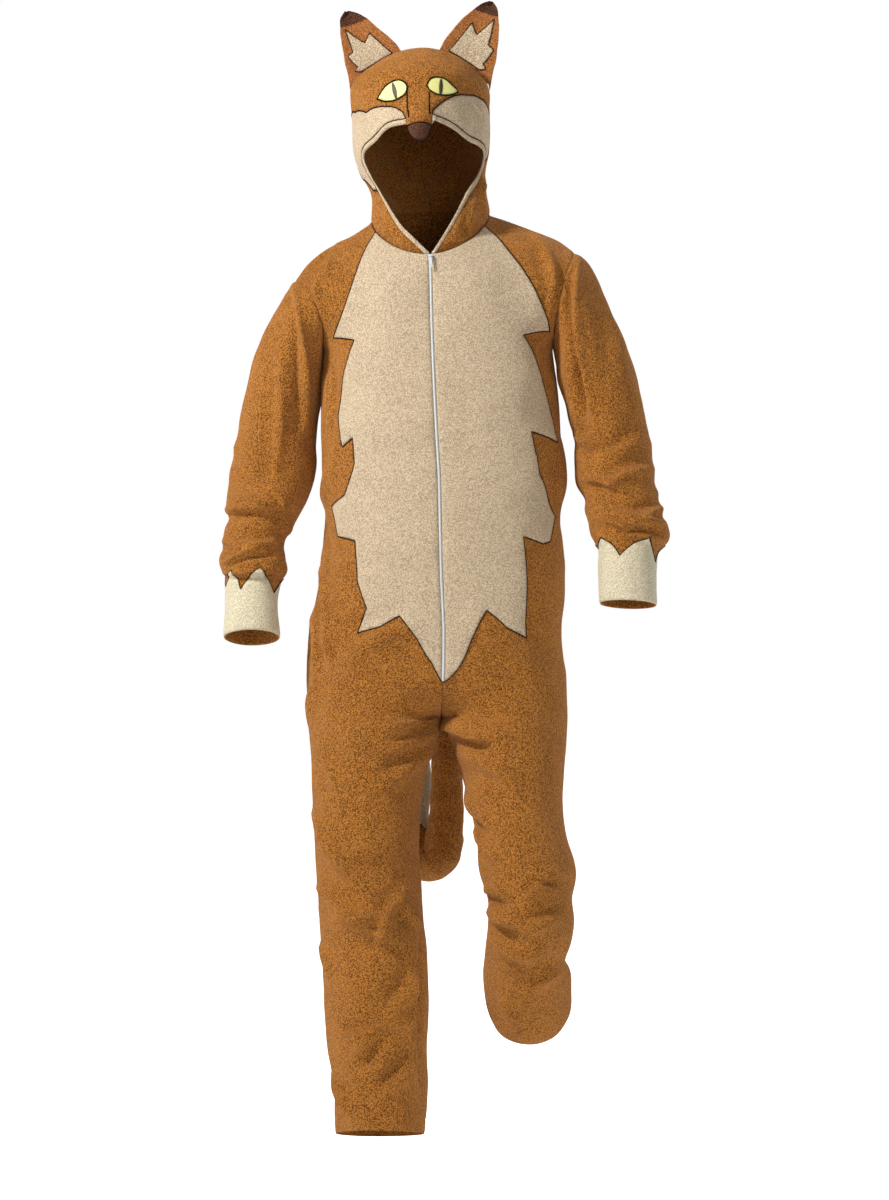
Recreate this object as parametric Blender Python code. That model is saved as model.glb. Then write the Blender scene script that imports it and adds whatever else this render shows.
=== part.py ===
"""Fox costume: a fleece jumpsuit with a fox-face hood, ears, zip and stuffed tail, worn in mid-step."""
import math

import bmesh
import bpy
import numpy as np
from mathutils import Matrix, Vector
from mathutils.geometry import delaunay_2d_cdt

# Driving sizes in metres
MM = 0.001
CLOTH = 0.002
PATCH = 0.0015
GAP = 0.0003
HALF_GAP = GAP / 2
ZIP_HALF = 0.002
ZIP_END_ROW = 11
ZIP_TAPER = 0.6
SQUARENESS = 0.84

# Grid of a body panel: columns from centre to side, yoke rows above the armpit
COLUMNS = 8
YOKE_ROWS = 8
FINE = 4
SLEEVE_COLUMNS = 16

SIDES = {"right": -1, "left": 1}


def table(names, rows):
    """Columns by name, from rows in millimetres or degrees."""
    return {name: np.array(column, float) for name, column in zip(names.split(), zip(*rows))}


# Torso rings from the armpit down to the crotch; close turns a half ring into a leg ring
TORSO = table("z mid right left y front back close drop", [
    (-192, -9, -181, 182, 0, 118, 120, 0, 0),
    (-235, -7, -184, 187, 0, 122, 119, 0, 0),
    (-280, -5, -186, 191, 0, 126, 116, 0, 0),
    (-340, -2, -187, 196, 0, 130, 112, 0, 0),
    (-408, 2, -185, 203, 0, 132, 108, 0, 0),
    (-456, 3, -181, 194, 0, 132, 110, 0, 0),
    (-504, 4, -184, 199, 0, 131, 116, 0, 0),
    (-550, 5, -188, 203, 0, 130, 124, 0, 0),
    (-600, 7, -195, 202, 0, 128, 132, 0, 0),
    (-640, 9, -206, 198, 0, 127, 138, 0, 0),
    (-690, 9, -210, 200, 0, 126, 140, 0, 0),
    (-715, 8, -210, 204, -2, 126, 140, 20, -12),
    (-737, 7, -210, 205, -4, 125, 138, 40, -19),
    (-760, 6, -209, 206, -6, 123, 136, 58, -16),
    (-785, 6, -208, 206, -9, 121, 133, 75, -2),
    (-812, 6, -206, 205, -11, 119, 130, 90, 22),
])
# Leg rings from the crotch to the hem
LEG_NAMES = "z inner outer y front back drop lift"
LEG = {
    "right": table(LEG_NAMES, [
        (-850, -10, -203, -18, 114, 124, 9, 2),
        (-908, -25, -200, -34, 104, 114, 2, 4),
        (-968, -29, -196, -52, 98, 104, 0, 6),
        (-1027, -28, -192, -69, 93, 97, 0, 8),
        (-1100, -23, -187, -86, 89, 90, 0, 12),
        (-1146, -17, -184, -94, 87, 87, 0, 14),
        (-1200, -15, -180, -107, 85, 85, 0, 15),
        (-1250, -15, -177, -119, 83, 84, 0, 16),
        (-1304, -17, -171, -133, 81, 82, 0, 17),
        (-1348, -15, -161, -145, 79, 80, 0, 18),
        (-1390, -17, -161, -155, 78, 79, 0, 18),
        (-1426, -20, -159, -164, 78, 79, 0, 18),
    ]),
    "left": table(LEG_NAMES, [
        (-850, 26, 203, -24, 116, 122, 9, 4),
        (-909, 45, 198, -47, 106, 110, 3, 9),
        (-967, 60, 202, -70, 98, 101, 0, 13),
        (-1025, 65, 217, -94, 93, 95, 0, 13),
        (-1067, 77, 211, -106, 90, 91, 0, 9),
        (-1101, 78, 214, -108, 88, 89, 0, 0),
        (-1133, 76, 210, -99, 85, 85, 0, -10),
        (-1165, 73, 200, -82, 81, 82, 0, -20),
        (-1189, 71, 210, -67, 80, 80, 0, -26),
        (-1215, 72, 212, -49, 78, 78, 0, -31),
        (-1246, 77, 212, -27, 76, 76, 0, -35),
        (-1266, 86, 203, -6, 71, 72, 0, -35),
    ]),
}
# Armhole: shoulder tip and armpit, with the inward bow of its front and back
ARMHOLE = {
    "right": {"tip": (-229, 5, -90), "pit": (-181, 0, -192), "depth": 76, "bow": (14, 4)},
    "left": {"tip": (219, 5, -45), "pit": (182, 0, -192), "depth": 78, "bow": (-6, 4)},
}
SHOULDER = {
    "right": table("x z", [(-107, 4), (-139, -17), (-181, -39), (-211, -64), (-229, -90)]),
    "left": table("x z", [(83, 16), (114, 6), (157, -10), (194, -25), (219, -45)]),
}
# Sleeve rings from the armhole to the wrist
SLEEVE_NAMES = "x_out z_out x_in z_in y depth lift bow"
SLEEVE = {
    "right": table(SLEEVE_NAMES, [
        (-229, -90, -181, -192, 2.5, 76, 0, 14),
        (-244, -108, -185, -207, 7, 75, 0, 8),
        (-258, -134, -187, -224, 13, 73, 0, 4),
        (-275, -171, -187, -246, 18, 71, 0, 0),
        (-287, -205, -187, -267, 21, 70, 0, 0),
        (-299, -241, -188, -288, 23, 69, 0, 0),
        (-314, -287, -193, -315, 23, 69, 0, 0),
        (-323, -337, -196, -350, 21, 68, 0, 0),
        (-333, -385, -195, -389, 16, 67, 2, 0),
        (-337, -425, -205, -427, 8, 66, 4, 0),
        (-339, -465, -223, -466, -2, 62, 8, 0),
        (-344, -505, -244, -506, -10, 54, 10, 0),
        (-350, -532, -243, -533, -17, 59, 12, 0),
        (-346, -551, -240, -553, -22, 54, 12, 0),
        (-338, -568, -252, -573, -27, 45, 12, 0),
        (-336, -598, -256, -600, -34, 43, 12, 0),
        (-336, -628, -254, -629, -41, 42, 13, 0),
        (-338, -660, -251, -659, -48, 41, 13, 0),
    ]),
    "left": table(SLEEVE_NAMES, [
        (219, -45, 182, -192, 2.5, 78, 0, -6),
        (238, -61, 187, -207, -2, 77, 0, -4),
        (253, -87, 190, -221, -8, 76, 0, -2),
        (267, -121, 191, -236, -14, 74, 0, 0),
        (280, -155, 193, -252, -18, 73, 0, 0),
        (295, -191, 198, -270, -20, 72, 0, 0),
        (313, -238, 205, -293, -21, 71, 0, 0),
        (326, -287, 210, -320, -22, 70, 0, 0),
        (335, -338, 215, -350, -23, 69, 3, 0),
        (342, -380, 217, -384, -27, 68, 6, 0),
        (346, -414, 220, -416, -35, 66, 10, 0),
        (351, -440, 235, -441, -43, 62, 12, 0),
        (358, -468, 237, -468, -54, 60, 14, 0),
        (367, -490, 240, -492, -64, 61, 13, 0),
        (364, -508, 247, -508, -70, 55, 11, 0),
        (347, -524, 255, -523, -76, 45, 10, 0),
        (342, -549, 253, -547, -85, 43, 9, 0),
        (342, -579, 253, -577, -96, 42, 8, 0),
        (342, -609, 254, -605, -105, 41, 7, 0),
    ]),
}
# Hood rings from the neck to just past the pole of the crown
HOOD = table("z mid half_width y front back", [
    (10, -12, 95, 0, 98, 92),
    (50, -15, 92, 5, 96, 104),
    (85, -25, 100.5, 11, 110, 117),
    (120, -27, 108.5, 14, 119, 124),
    (160, -27.5, 110.5, 16, 124, 127),
    (200, -29, 109.5, 17, 123, 126),
    (232, -29, 103, 17, 114, 117),
    (260, -25, 74, 18, 84, 87),
    (278, -26, 39, 18, 44, 46),
    (285, -27, 0, 18, 0, 0),
    (278, -28, -39, 18, -44, -46),
])
POLE_ROW = 9
HOOD_SPOKES = 30
HOOD_RINGS = (0.45, 0.9, 1.4, 2.0, 2.7, 3.4, 4.2, 5.0, 5.7, 6.4, 7.1, 7.8, 8.5)
HOOD_SEAM_STEPS = 12
# Flat-disc lengths: longest side of an outline and least distance of a grid point from one
LONGEST_SIDE = 0.06
LEAST_APART = 0.022
SNOUT = {"x": -28, "z": 128, "width": 27, "height": 46, "rise": 24}
# Outlines on the hood by angle from the front, degrees, and height, millimetres
BINDING_WIDTH = 9 * MM
BINDING_RISE = 0.8 * MM
OPENING_STEPS = 2
OPENING_LOW = 9
# Growth of the opening past the neck seam, and of the cheeks under the binding
OPENING_PAST = 1.06
CHEEK_PAST = 1.03
OPENING = table("theta z", [
    (-12, 144), (-27.5, 140), (-41, 122), (-57, 109), (-61, 98), (-60, 88), (-51.5, 42),
    (-31.5, -5), (-13.5, -34), (-1, -54), (1.5, -54), (10, -34), (25, 3), (43.5, 46),
    (62, 74), (71, 95), (69, 112), (57, 119), (43, 124), (25.5, 141), (12, 150),
])
NOSE = table("theta z", [
    (9, 142), (7.5, 131), (5, 121), (0, 116.5), (-5.5, 120.5), (-9.5, 131), (-10.5, 141),
])
CHEEK = {
    "right": table("theta z", [
        (-12, 144), (-12, 153), (-14.5, 164), (-20.5, 172), (-30, 175), (-42, 175), (-51, 170),
        (-70, 176), (-97, 172), (-104, 140), (-101, 105), (-88, 72), (-66, 50), (-51, 41),
    ]),
    "left": table("theta z", [
        (10, 150), (10.5, 166), (17, 178), (26, 189), (44, 196), (60, 196), (78, 186),
        (91, 160), (90, 130), (82, 104), (71, 95),
    ]),
}
FACE_BACK = table("theta z", [
    (-97, 172), (-96, 200), (-95, 226), (-94, 256), (-90, 279), (0, 288), (90, 279), (94, 256),
    (95, 226), (93, 196), (91, 160),
])
EYE = {
    "right": table("theta z", [
        (-37, 188), (-30.5, 204), (-24.5, 212), (-17, 215.5), (-11.5, 210), (-10, 202), (-12.5, 191),
        (-21.5, 183), (-30, 183),
    ]),
    "left": table("theta z", [
        (6, 206), (9, 216), (15, 220), (22.5, 217), (28, 209), (33, 199), (24.5, 192), (14.5, 192),
        (8, 198),
    ]),
}
PUPIL = {
    "right": table("theta z", [
        (-23.2, 209), (-21.6, 211), (-18.9, 200), (-18.3, 188), (-20, 186), (-22.2, 197),
    ]),
    "left":table("theta z", [(17.2, 216), (19, 216), (19.4, 204), (18, 193), (16.2, 193), (16, 205)]),
}
TEAR = {
    "right": table("theta z", [
        (-10.7, 196), (-9.6, 196), (-9.6, 172), (-8.6, 158), (-9.8, 154), (-10.9, 172),
    ]),
    "left": table("theta z", [(7.4, 194), (8.6, 194), (8.2, 176), (8.2, 160), (6.9, 160), (7, 176)]),
}
# Belly edge from the neck to the point below the zip, seen from the front
BELLY = {
    "right": table("x z", [
        (-99, -17), (-133, -96), (-165, -186), (-131, -192), (-148, -248), (-158, -309), (-149, -360),
        (-133, -346), (-130, -387), (-146, -435), (-167, -452), (-157, -500), (-129, -507), (-126, -570),
        (-112, -612), (-127, -652), (-89, -642), (-60, -625), (-31, -662), (-8, -698), (10, -728),
    ]),
    "left": table("x z", [
        (74, -8), (112, -49), (147, -100), (172, -158), (174, -174), (134, -184), (174, -285), (188, -351),
        (146, -336), (160, -403), (184, -468), (177, -508), (165, -512), (134, -501), (139, -565),
        (138, -660), (107, -644), (76, -616), (53, -661), (34, -702), (10, -729),
    ]),
}
# Ear sections from base to tip: both edges of the ear, seen from the front
EAR_LIFT = 0.7
EAR_DISH = 8
EAR_STEPS = 6
EAR_NAMES = "x_out z_out x_in z_in y thick seated"
EAR = {
    "right": table(EAR_NAMES, [
        (-132, 228, -58, 279, 12, 12, 1),
        (-147, 252, -67, 292, 14, 12, 1),
        (-152, 278, -79, 304, 16, 11, 1),
        (-156, 302, -95, 317, 17, 9, 1),
        (-157, 319, -114, 334, 17, 7, 1),
    ]),
    "left": table(EAR_NAMES, [
        (74, 228, 1, 281, 12, 12, 1),
        (91, 258, 11, 299, 14, 12, 1),
        (96, 290, 24, 316, 16, 11, 1),
        (98, 318, 40, 334, 17, 9, 1),
        (97, 336, 58, 349, 17, 7, 1),
    ]),
}
EAR_TIP = {
    "right": table(EAR_NAMES, [
        (-157, 319, -114, 334, 17, 7, 0),
        (-157, 333, -129, 342, 17, 6, 0),
        (-150, 345, -143, 346, 17, 3, 0),
    ]),
    "left": table(EAR_NAMES, [
        (97, 336, 58, 349, 17, 7, 0),
        (95, 350, 71, 358, 17, 6, 0),
        (88, 361, 83, 362, 17, 3, 0),
    ]),
}
# Ear fur outline across the ear, 0 outer edge to 1 inner edge, and up it, 0 base to 1 top row
EAR_FUR = table("across up", [
    (0.2, 0.09), (0.12, 0.16), (0.2, 0.2), (0.08, 0.42), (0.2, 0.46), (0.16, 0.92), (0.5, 0.55),
    (0.72, 0.72), (0.84, 0.09),
])
# Cuff's zigzag edge: angle round the sleeve from its inner side through the front, and sleeve row
CUFF = {
    "right": table("angle row", [
        (0, 14), (27, 14.8), (75, 13.45), (111, 14.85), (132, 13.65), (164, 14.5), (200, 13.5),
        (238, 14.8), (280, 13.5), (318, 14.8), (345, 13.5), (360, 14),
    ]),
    "left": table("angle row", [
        (0, 14.65), (4, 14.8), (33, 14), (72, 15.7), (114, 14.2), (160, 15.8), (200, 14.1),
        (240, 15.7), (282, 14.1), (322, 15.6), (345, 14.1), (360, 14.65),
    ]),
}
# Tail centre line from the seat to the tip
TAIL = table("x y z radius", [
    (8, 139.8, -703, 20),
    (8, 156, -704, 21),
    (9, 170, -722, 22),
    (11, 179, -757, 23),
    (13, 185, -805, 24),
    (14, 190, -860, 25),
    (14, 196, -920, 27),
    (12, 200, -976, 30),
    (4, 207, -1022, 34),
    (-20, 221, -1034, 35),
    (-39, 234, -1002, 31),
    (-43, 240, -966, 27),
    (-38, 242, -930, 25),
    (-34, 240, -895, 22),
    (-30, 236, -862, 14),
    (-28, 234, -846, 5),
])
TAIL_TIP_ROW = 10.6
TAIL_SIDES = 14
# Largest folds: a soft ridge or trough between two points on one face of a part
FOLD_NAMES = "x1 z1 x2 z2 width height"
FOLDS = {
    "body front": table(FOLD_NAMES, [
        (-178, -215, -150, -300, 22, -5),
        (182, -215, 160, -300, 22, -5),
        (-200, -640, -120, -700, 26, 5),
        (40, -800, 90, -815, 22, 6),
        (-180, -940, -150, -1000, 26, 5),
        (-175, -1085, -60, -1110, 24, 5),
        (-60, -1290, -130, -1330, 22, 6),
        (-165, -1350, -110, -1400, 22, 6),
        (60, -900, 100, -970, 24, 6),
        (85, -1075, 150, -1100, 22, 7),
        (205, -1055, 160, -1090, 22, -6),
        (90, -1150, 150, -1165, 20, 5),
    ]),
    "body back": table(FOLD_NAMES, [
        (-150, -230, -60, -260, 30, 6),
        (150, -230, 60, -260, 30, 6),
        (-140, -470, -20, -500, 30, 7),
        (20, -500, 150, -470, 30, 7),
        (-170, -790, -60, -830, 26, -6),
        (60, -830, 170, -790, 26, -6),
        (-160, -1090, -60, -1120, 24, 6),
        (90, -1100, 190, -1110, 22, -6),
    ]),
    "sleeve": table(FOLD_NAMES, [
        (-228, -100, -214, -260, 14, 4),
        (-312, -425, -240, -440, 18, 5),
        (-345, -470, -250, -455, 14, -4),
        (-340, -520, -262, -512, 14, -4),
        (222, -80, 246, -290, 14, 4),
        (225, -335, 290, -352, 18, -5),
        (365, -480, 300, -492, 12, -4),
        (240, -455, 300, -462, 14, 5),
    ]),
}


def row_blend(side):
    """Torso and leg rings of one half as one set of columns."""
    torso, leg = TORSO, LEG[side]
    level = np.zeros(len(torso["z"]))
    joined = {"mid": ("mid", "inner"), "out": (side, "outer"), "drop": ("drop", "drop")}
    body = {name: np.concatenate((torso[name], leg[name])) for name in ("z", "y", "front", "back")}
    body.update({name: np.concatenate((torso[a], leg[b])) for name, (a, b) in joined.items()})
    body["close"] = np.concatenate((torso["close"], 90 + np.zeros(len(leg["z"]))))
    body["lift"] = np.concatenate((level, leg["lift"]))
    return body


BODY = {side: row_blend(side) for side in SIDES}
CROTCH_ROW = len(TORSO["z"]) - 1
HEM_ROW = len(BODY["right"]["z"]) - 1


def body_point(side, u, row):
    """Body surface below the armpit: u is 0 at centre front, 0.5 at the side, 1 at centre back."""
    ring = {name: spline(column, row) for name, column in BODY[side].items()}
    half, full = np.pi * u, 2 * np.pi * u
    shut = 1 - np.cos(np.radians(np.clip(ring["close"], 0, 90)))
    depth = np.where(u < 0.5, ring["front"], ring["back"])
    reach = ring["out"] - ring["mid"]
    cosine = np.cos(half)
    open_x = ring["mid"] + reach * np.abs(np.sin(half)) ** SQUARENESS
    open_y = ring["y"] - np.sign(cosine) * np.abs(cosine) ** SQUARENESS * depth
    leg_x = ring["mid"] + reach * (1 - np.cos(full)) / 2
    leg_y = ring["y"] - np.sin(full) * depth
    x = (1 - shut) * open_x + shut * leg_x
    y = (1 - shut) * open_y + shut * leg_y
    z = ring["z"] + ring["drop"] * cosine ** 2 + shut * ring["lift"] * np.sin(full)
    return np.stack([x, y, z], -1)


def spline(column, at):
    """Smooth curve through a column, read at fractional row numbers."""
    v = np.concatenate(([2 * column[0] - column[1]], column, [2 * column[-1] - column[-2]]))
    at = np.asarray(at, float)
    i = np.clip(np.floor(at).astype(int), 0, len(column) - 2)
    f = at - i
    a, b, c, d = v[i], v[i + 1], v[i + 2], v[i + 3]
    return 0.5 * (2 * b + f * (c - a + f * (2 * a - 5 * b + 4 * c - d + f * (3 * (b - c) + d - a))))


def armhole_point(side, angle):
    """Armhole ring: 0 degrees at the armpit, 90 at the front, 180 at the shoulder tip."""
    hole = ARMHOLE[side]
    tip, pit = np.array(hole["tip"], float), np.array(hole["pit"], float)
    a = np.radians(np.asarray(angle, float))[..., None]
    bow = np.array([hole["bow"][0], 0, hole["bow"][1]])
    front = np.array([0, -hole["depth"], 0])
    return (tip + pit) / 2 + (pit - tip) / 2 * np.cos(a) + front * np.sin(a) + bow * np.sin(a) ** 2


def neck_lift(theta):
    """Tilt of the neck seam: low at the front, high at the back."""
    c = np.cos(theta)
    return -43.5 * c - 23.5 * c * c + 6 * np.sin(theta)


def hood_point(theta, row):
    """Hood surface by angle from the front, radians, and ring row."""
    z = spline(HOOD["z"], row) + neck_lift(theta) * np.clip(1 - row / 3, 0, 1) ** 2
    x = spline(HOOD["mid"], row) + spline(HOOD["half_width"], row) * np.sin(theta)
    facing = np.cos(theta) > 0
    depth = np.where(facing, spline(HOOD["front"], row), spline(HOOD["back"], row))
    y = spline(HOOD["y"], row) - depth * np.cos(theta)
    across = (x - SNOUT["x"]) / SNOUT["width"]
    up = (z - SNOUT["z"]) / SNOUT["height"]
    y = y - SNOUT["rise"] * np.exp(-across ** 2 - up ** 2) * facing
    return np.stack([x, y, z], -1)


def shoulder_point(side, f):
    """Shoulder seam from the neck, 0, to the shoulder tip, 1."""
    at = np.asarray(f, float) * (len(SHOULDER[side]["x"]) - 1)
    y = ARMHOLE[side]["tip"][1] * np.asarray(f, float)
    return np.stack([spline(SHOULDER[side]["x"], at), y, spline(SHOULDER[side]["z"], at)], -1)


def yoke(side, face, steps_u, steps_v):
    """Panel above the armpit between centre, armhole, shoulder seam and neck seam, top row first."""
    f = np.linspace(0, 1, steps_u + 1)
    v = np.linspace(0, 1, steps_v + 1)
    front = face == "front"
    chest = body_point(side, f / 2 if front else 1 - f / 2, np.zeros(steps_u + 1))
    turn = np.clip(f / 0.5, 0, 1) * np.pi / 2
    theta = SIDES[side] * (turn if front else np.pi - turn)
    neck = hood_point(theta, np.zeros(steps_u + 1))
    shoulder = shoulder_point(side, np.clip(f / 0.5 - 1, 0, 1))
    top = np.where((f <= 0.5)[:, None], neck, shoulder)
    centre = chest[0] + (top[0] - chest[0]) * v[:, None]
    arm = armhole_point(side, 180 * v if front else 360 - 180 * v)
    f, v = f[None, :, None], v[:, None, None]
    corners = (1 - f) * ((1 - v) * chest[0] + v * top[0]) + f * ((1 - v) * chest[-1] + v * top[-1])
    patch = (1 - v) * chest[None] + v * top[None] + (1 - f) * centre[:, None] + f * arm[:, None] - corners
    return patch[::-1]


def fold_offset(points, folds):
    """Height of the folds at each point, from its distance to each fold's line in the front view."""
    total = np.zeros(points.shape[:-1])
    flat = points[..., [0, 2]]
    for k in range(len(folds["x1"])):
        a = np.array([folds["x1"][k], folds["z1"][k]])
        b = np.array([folds["x2"][k], folds["z2"][k]])
        t = np.clip(((flat - a) @ (b - a)) / ((b - a) @ (b - a)), 0, 1)
        miss = np.linalg.norm(flat - (a + t[..., None] * (b - a)), axis=-1)
        total += folds["height"][k] * np.exp(-(miss / folds["width"][k]) ** 2)
    return total


def normals_of(grid, outward, closed=False):
    """Unit normals of a grid of points; outward is a rough outward direction for each point."""
    if closed:
        wrapped = np.concatenate((grid[:, -2:-1], grid, grid[:, 1:2]), 1)
        across = np.gradient(wrapped, axis=1)[:, 1:-1]
    else:
        across = np.gradient(grid, axis=1)
    normal = np.cross(across, np.gradient(grid, axis=0))
    normal /= np.linalg.norm(normal, axis=-1, keepdims=True) + 1e-12
    flip = np.sign(np.sum(normal * outward, axis=-1).sum())
    return normal * flip


def body_grid(side, face):
    """Fine grid of one body panel, top to hem and centre to side, with its normals."""
    steps = COLUMNS * FINE
    u = np.linspace(0, 0.5, steps + 1) if face == "front" else np.linspace(1, 0.5, steps + 1)
    rows = np.linspace(0, HEM_ROW, HEM_ROW * FINE + 1)
    lower = body_point(side, *np.meshgrid(u, rows))
    grid = np.concatenate((yoke(side, face, steps, YOKE_ROWS * FINE)[:-1], lower))
    chest = YOKE_ROWS * FINE
    for _ in range(40):
        near = grid[:-2, 1:-1] + grid[2:, 1:-1] + grid[1:-1, :-2] + grid[1:-1, 2:]
        band = slice(0, chest + FINE)
        grid[1:-1, 1:-1][band] += 0.5 * (near / 4 - grid[1:-1, 1:-1])[band]
        grid[1:chest + FINE, 0] += 0.25 * (grid[:chest + FINE - 1, 0] + grid[2:chest + FINE + 1, 0]
                                           - 2 * grid[1:chest + FINE, 0])
    centre = np.array([SIDES[side] * 90.0, 0, 0])
    outward = grid - np.array([1, 1, 0]) * centre - np.array([0, 0, 1]) * grid
    normal = normals_of(grid, outward)
    folds = fold_offset(grid, FOLDS["body " + face])
    across = np.linspace(0, 1, steps + 1)
    fade = np.minimum(1, 4 * across) * np.minimum(1, 4 * (1 - across))
    grid = grid + normal * (folds * fade)[..., None]
    return grid, normals_of(grid, outward)


def sleeve_point(side, angle, row):
    """Sleeve surface: angle 0 inside, 90 front, 180 outside, 270 back."""
    ring = {name: spline(column, row) for name, column in SLEEVE[side].items()}
    a = np.radians(angle)
    swing = np.cos(a)
    x = (ring["x_in"] + ring["x_out"]) / 2 + (ring["x_in"] - ring["x_out"]) / 2 * swing
    z = (ring["z_in"] + ring["z_out"]) / 2 + (ring["z_in"] - ring["z_out"]) / 2 * swing
    x = x + ring["bow"] * np.sin(a) ** 2
    rise = ARMHOLE[side]["bow"][1] * np.clip(1 - row, 0, 1) * np.sin(a) ** 2
    return np.stack([x, ring["y"] - ring["depth"] * np.sin(a), z + ring["lift"] * np.sin(a) + rise], -1)


def sleeve_grid(side):
    """Fine grid of a sleeve, closed round, with its normals."""
    angle = np.linspace(0, 360, SLEEVE_COLUMNS * FINE + 1)
    last = len(SLEEVE[side]["y"]) - 1
    grid = sleeve_point(side, *np.meshgrid(angle, np.linspace(0, last, last * FINE + 1)))
    outward = grid - grid[:, :-1].mean(1, keepdims=True)
    normal = normals_of(grid, outward, closed=True)
    fade = np.minimum(1, np.linspace(0, last, last * FINE + 1) / 2)[:, None]
    grid = grid + normal * (fold_offset(grid, FOLDS["sleeve"]) * fade)[..., None]
    grid[:, -1] = grid[:, 0]
    return grid, normals_of(grid, outward, closed=True)


def unit(vector):
    """Vector or vectors at length one."""
    v = np.asarray(vector, float)
    return v / np.linalg.norm(v, axis=-1, keepdims=True)


def lean_off(normal, neighbour):
    """Normals leaned so the wall's inner side stays off the piece that lies towards neighbour."""
    lean = np.minimum(0, normal @ neighbour)
    return unit(normal - lean[..., None] * neighbour)


def arm_direction(side):
    """Direction through the armhole, from the body into the sleeve."""
    hole = ARMHOLE[side]
    down = np.array(hole["pit"], float) - np.array(hole["tip"], float)
    out = np.cross(down, [0, 1, 0])
    return unit(out * np.sign(out[0]) * SIDES[side])


NECK_UP = unit([0, -0.37, 0.93])


def body_sheet(side, face, grids):
    """Coarse grid of a body panel with every seam edge drawn back by its gap."""
    points = grids[side, face][0][::FINE, ::FINE] * MM
    normal = grids[side, face][1][::FINE, ::FINE].copy()
    other = grids[side, "back" if face == "front" else "front"][1][::FINE, ::FINE]
    chest, crotch = YOKE_ROWS, YOKE_ROWS + CROTCH_ROW
    middle = np.array([-SIDES[side], 0.0, 0.0])
    arm = arm_direction(side)
    over = np.array([0.0, 1.0 if face == "front" else -1.0, 0.0])
    shared = slice(chest, None)
    normal[shared, -1] = unit(normal[shared, -1] + other[shared, -1])
    normal[crotch:, 0] = unit(normal[crotch:, 0] + other[crotch:, 0])
    moved = points.copy()
    zip_rows = np.arange(crotch + 1) <= YOKE_ROWS + ZIP_END_ROW
    trim = np.where(zip_rows & (face == "front"), ZIP_HALF + GAP, HALF_GAP)
    moved[:crotch + 1, 0] -= trim[:, None] * middle
    normal[:crotch + 1, 0] = lean_off(normal[:crotch + 1, 0], middle)
    moved[crotch:, 0] += HALF_GAP * unit(points[crotch:, 1] - points[crotch:, 0])
    moved[shared, -1] += HALF_GAP * unit(points[shared, -2] - points[shared, -1])
    moved[:chest + 1, -1] -= HALF_GAP * arm
    normal[:chest + 1, -1] = lean_off(normal[:chest + 1, -1], arm)
    neck = COLUMNS // 2
    moved[0, :neck + 1] -= HALF_GAP * NECK_UP
    normal[0, :neck + 1] = lean_off(normal[0, :neck + 1], NECK_UP)
    moved[0, neck:] -= HALF_GAP * over
    normal[0, neck:] = lean_off(normal[0, neck:], over)
    return grid_sheet(moved, normal)


def grid_sheet(points, normal):
    """Sheet from a grid: flat coordinates, triangles, points and normals."""
    rows, columns = points.shape[:2]
    flat = np.stack(np.meshgrid(np.arange(columns), np.arange(rows)), -1).reshape(-1, 2).astype(float)
    tris = []
    for r in range(rows - 1):
        for c in range(columns - 1):
            a = r * columns + c
            tris += [(a, a + columns, a + columns + 1), (a, a + columns + 1, a + 1)]
    points, normal = points.reshape(-1, 3), normal.reshape(-1, 3)
    return {"flat": flat, "tris": np.array(tris), "points": points, "normal": normal}


def facing_out(sheet):
    """Triangles turned so their faces look along the sheet's normals."""
    tris, points = sheet["tris"], sheet["points"]
    face = np.cross(points[tris[:, 1]] - points[tris[:, 0]], points[tris[:, 2]] - points[tris[:, 0]])
    if np.sum(face * sheet["normal"][tris].sum(1)) < 0:
        tris = tris[:, ::-1]
    return tris


def rim_edges(tris):
    """Directed edges that only one triangle uses."""
    directed = {(int(t[i]), int(t[(i + 1) % 3])) for t in tris for i in range(3)}
    return [(a, b) for a, b in directed if (b, a) not in directed]


def wall(name, sheet, thickness, finish, rise=0.0):
    """Closed wall: outer points along the normals, plain inner points, and rims between them."""
    tris = facing_out(sheet)
    used, back = np.unique(tris, return_inverse=True)
    points, normal = sheet["points"][used], sheet["normal"][used]
    apart = np.linalg.norm(points[:, None] - points[None], axis=-1)
    same = (apart < 1e-5).argmax(1)
    tris = same[back.reshape(-1, 3)]
    tris = tris[(tris[:, 0] != tris[:, 1]) & (tris[:, 1] != tris[:, 2]) & (tris[:, 0] != tris[:, 2])]
    used, back = np.unique(tris, return_inverse=True)
    tris, points, normal = back.reshape(-1, 3), points[used], normal[used]
    count = len(used)
    vertices = np.concatenate((points + normal * rise, points - normal * (thickness - rise)))
    faces = [tuple(t) for t in tris] + [tuple(t[::-1] + count) for t in tris]
    for a, b in rim_edges(tris):
        faces += [(b, a, a + count), (b, a + count, b + count)]
    return solid(name, vertices, faces, finish)


def solid(name, vertices, faces, finish):
    """Object from points and faces, with coincident points joined."""
    mesh = bpy.data.meshes.new(name)
    mesh.from_pydata([tuple(map(float, v)) for v in vertices], [], [tuple(map(int, f)) for f in faces])
    work = bmesh.new()
    work.from_mesh(mesh)
    bmesh.ops.remove_doubles(work, verts=work.verts, dist=1e-6)
    bmesh.ops.recalc_face_normals(work, faces=work.faces)
    work.to_mesh(mesh)
    work.free()
    made = bpy.data.objects.new(name, mesh)
    COSTUME.objects.link(made)
    made.data.materials.append(material(name, finish))
    return made


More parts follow.
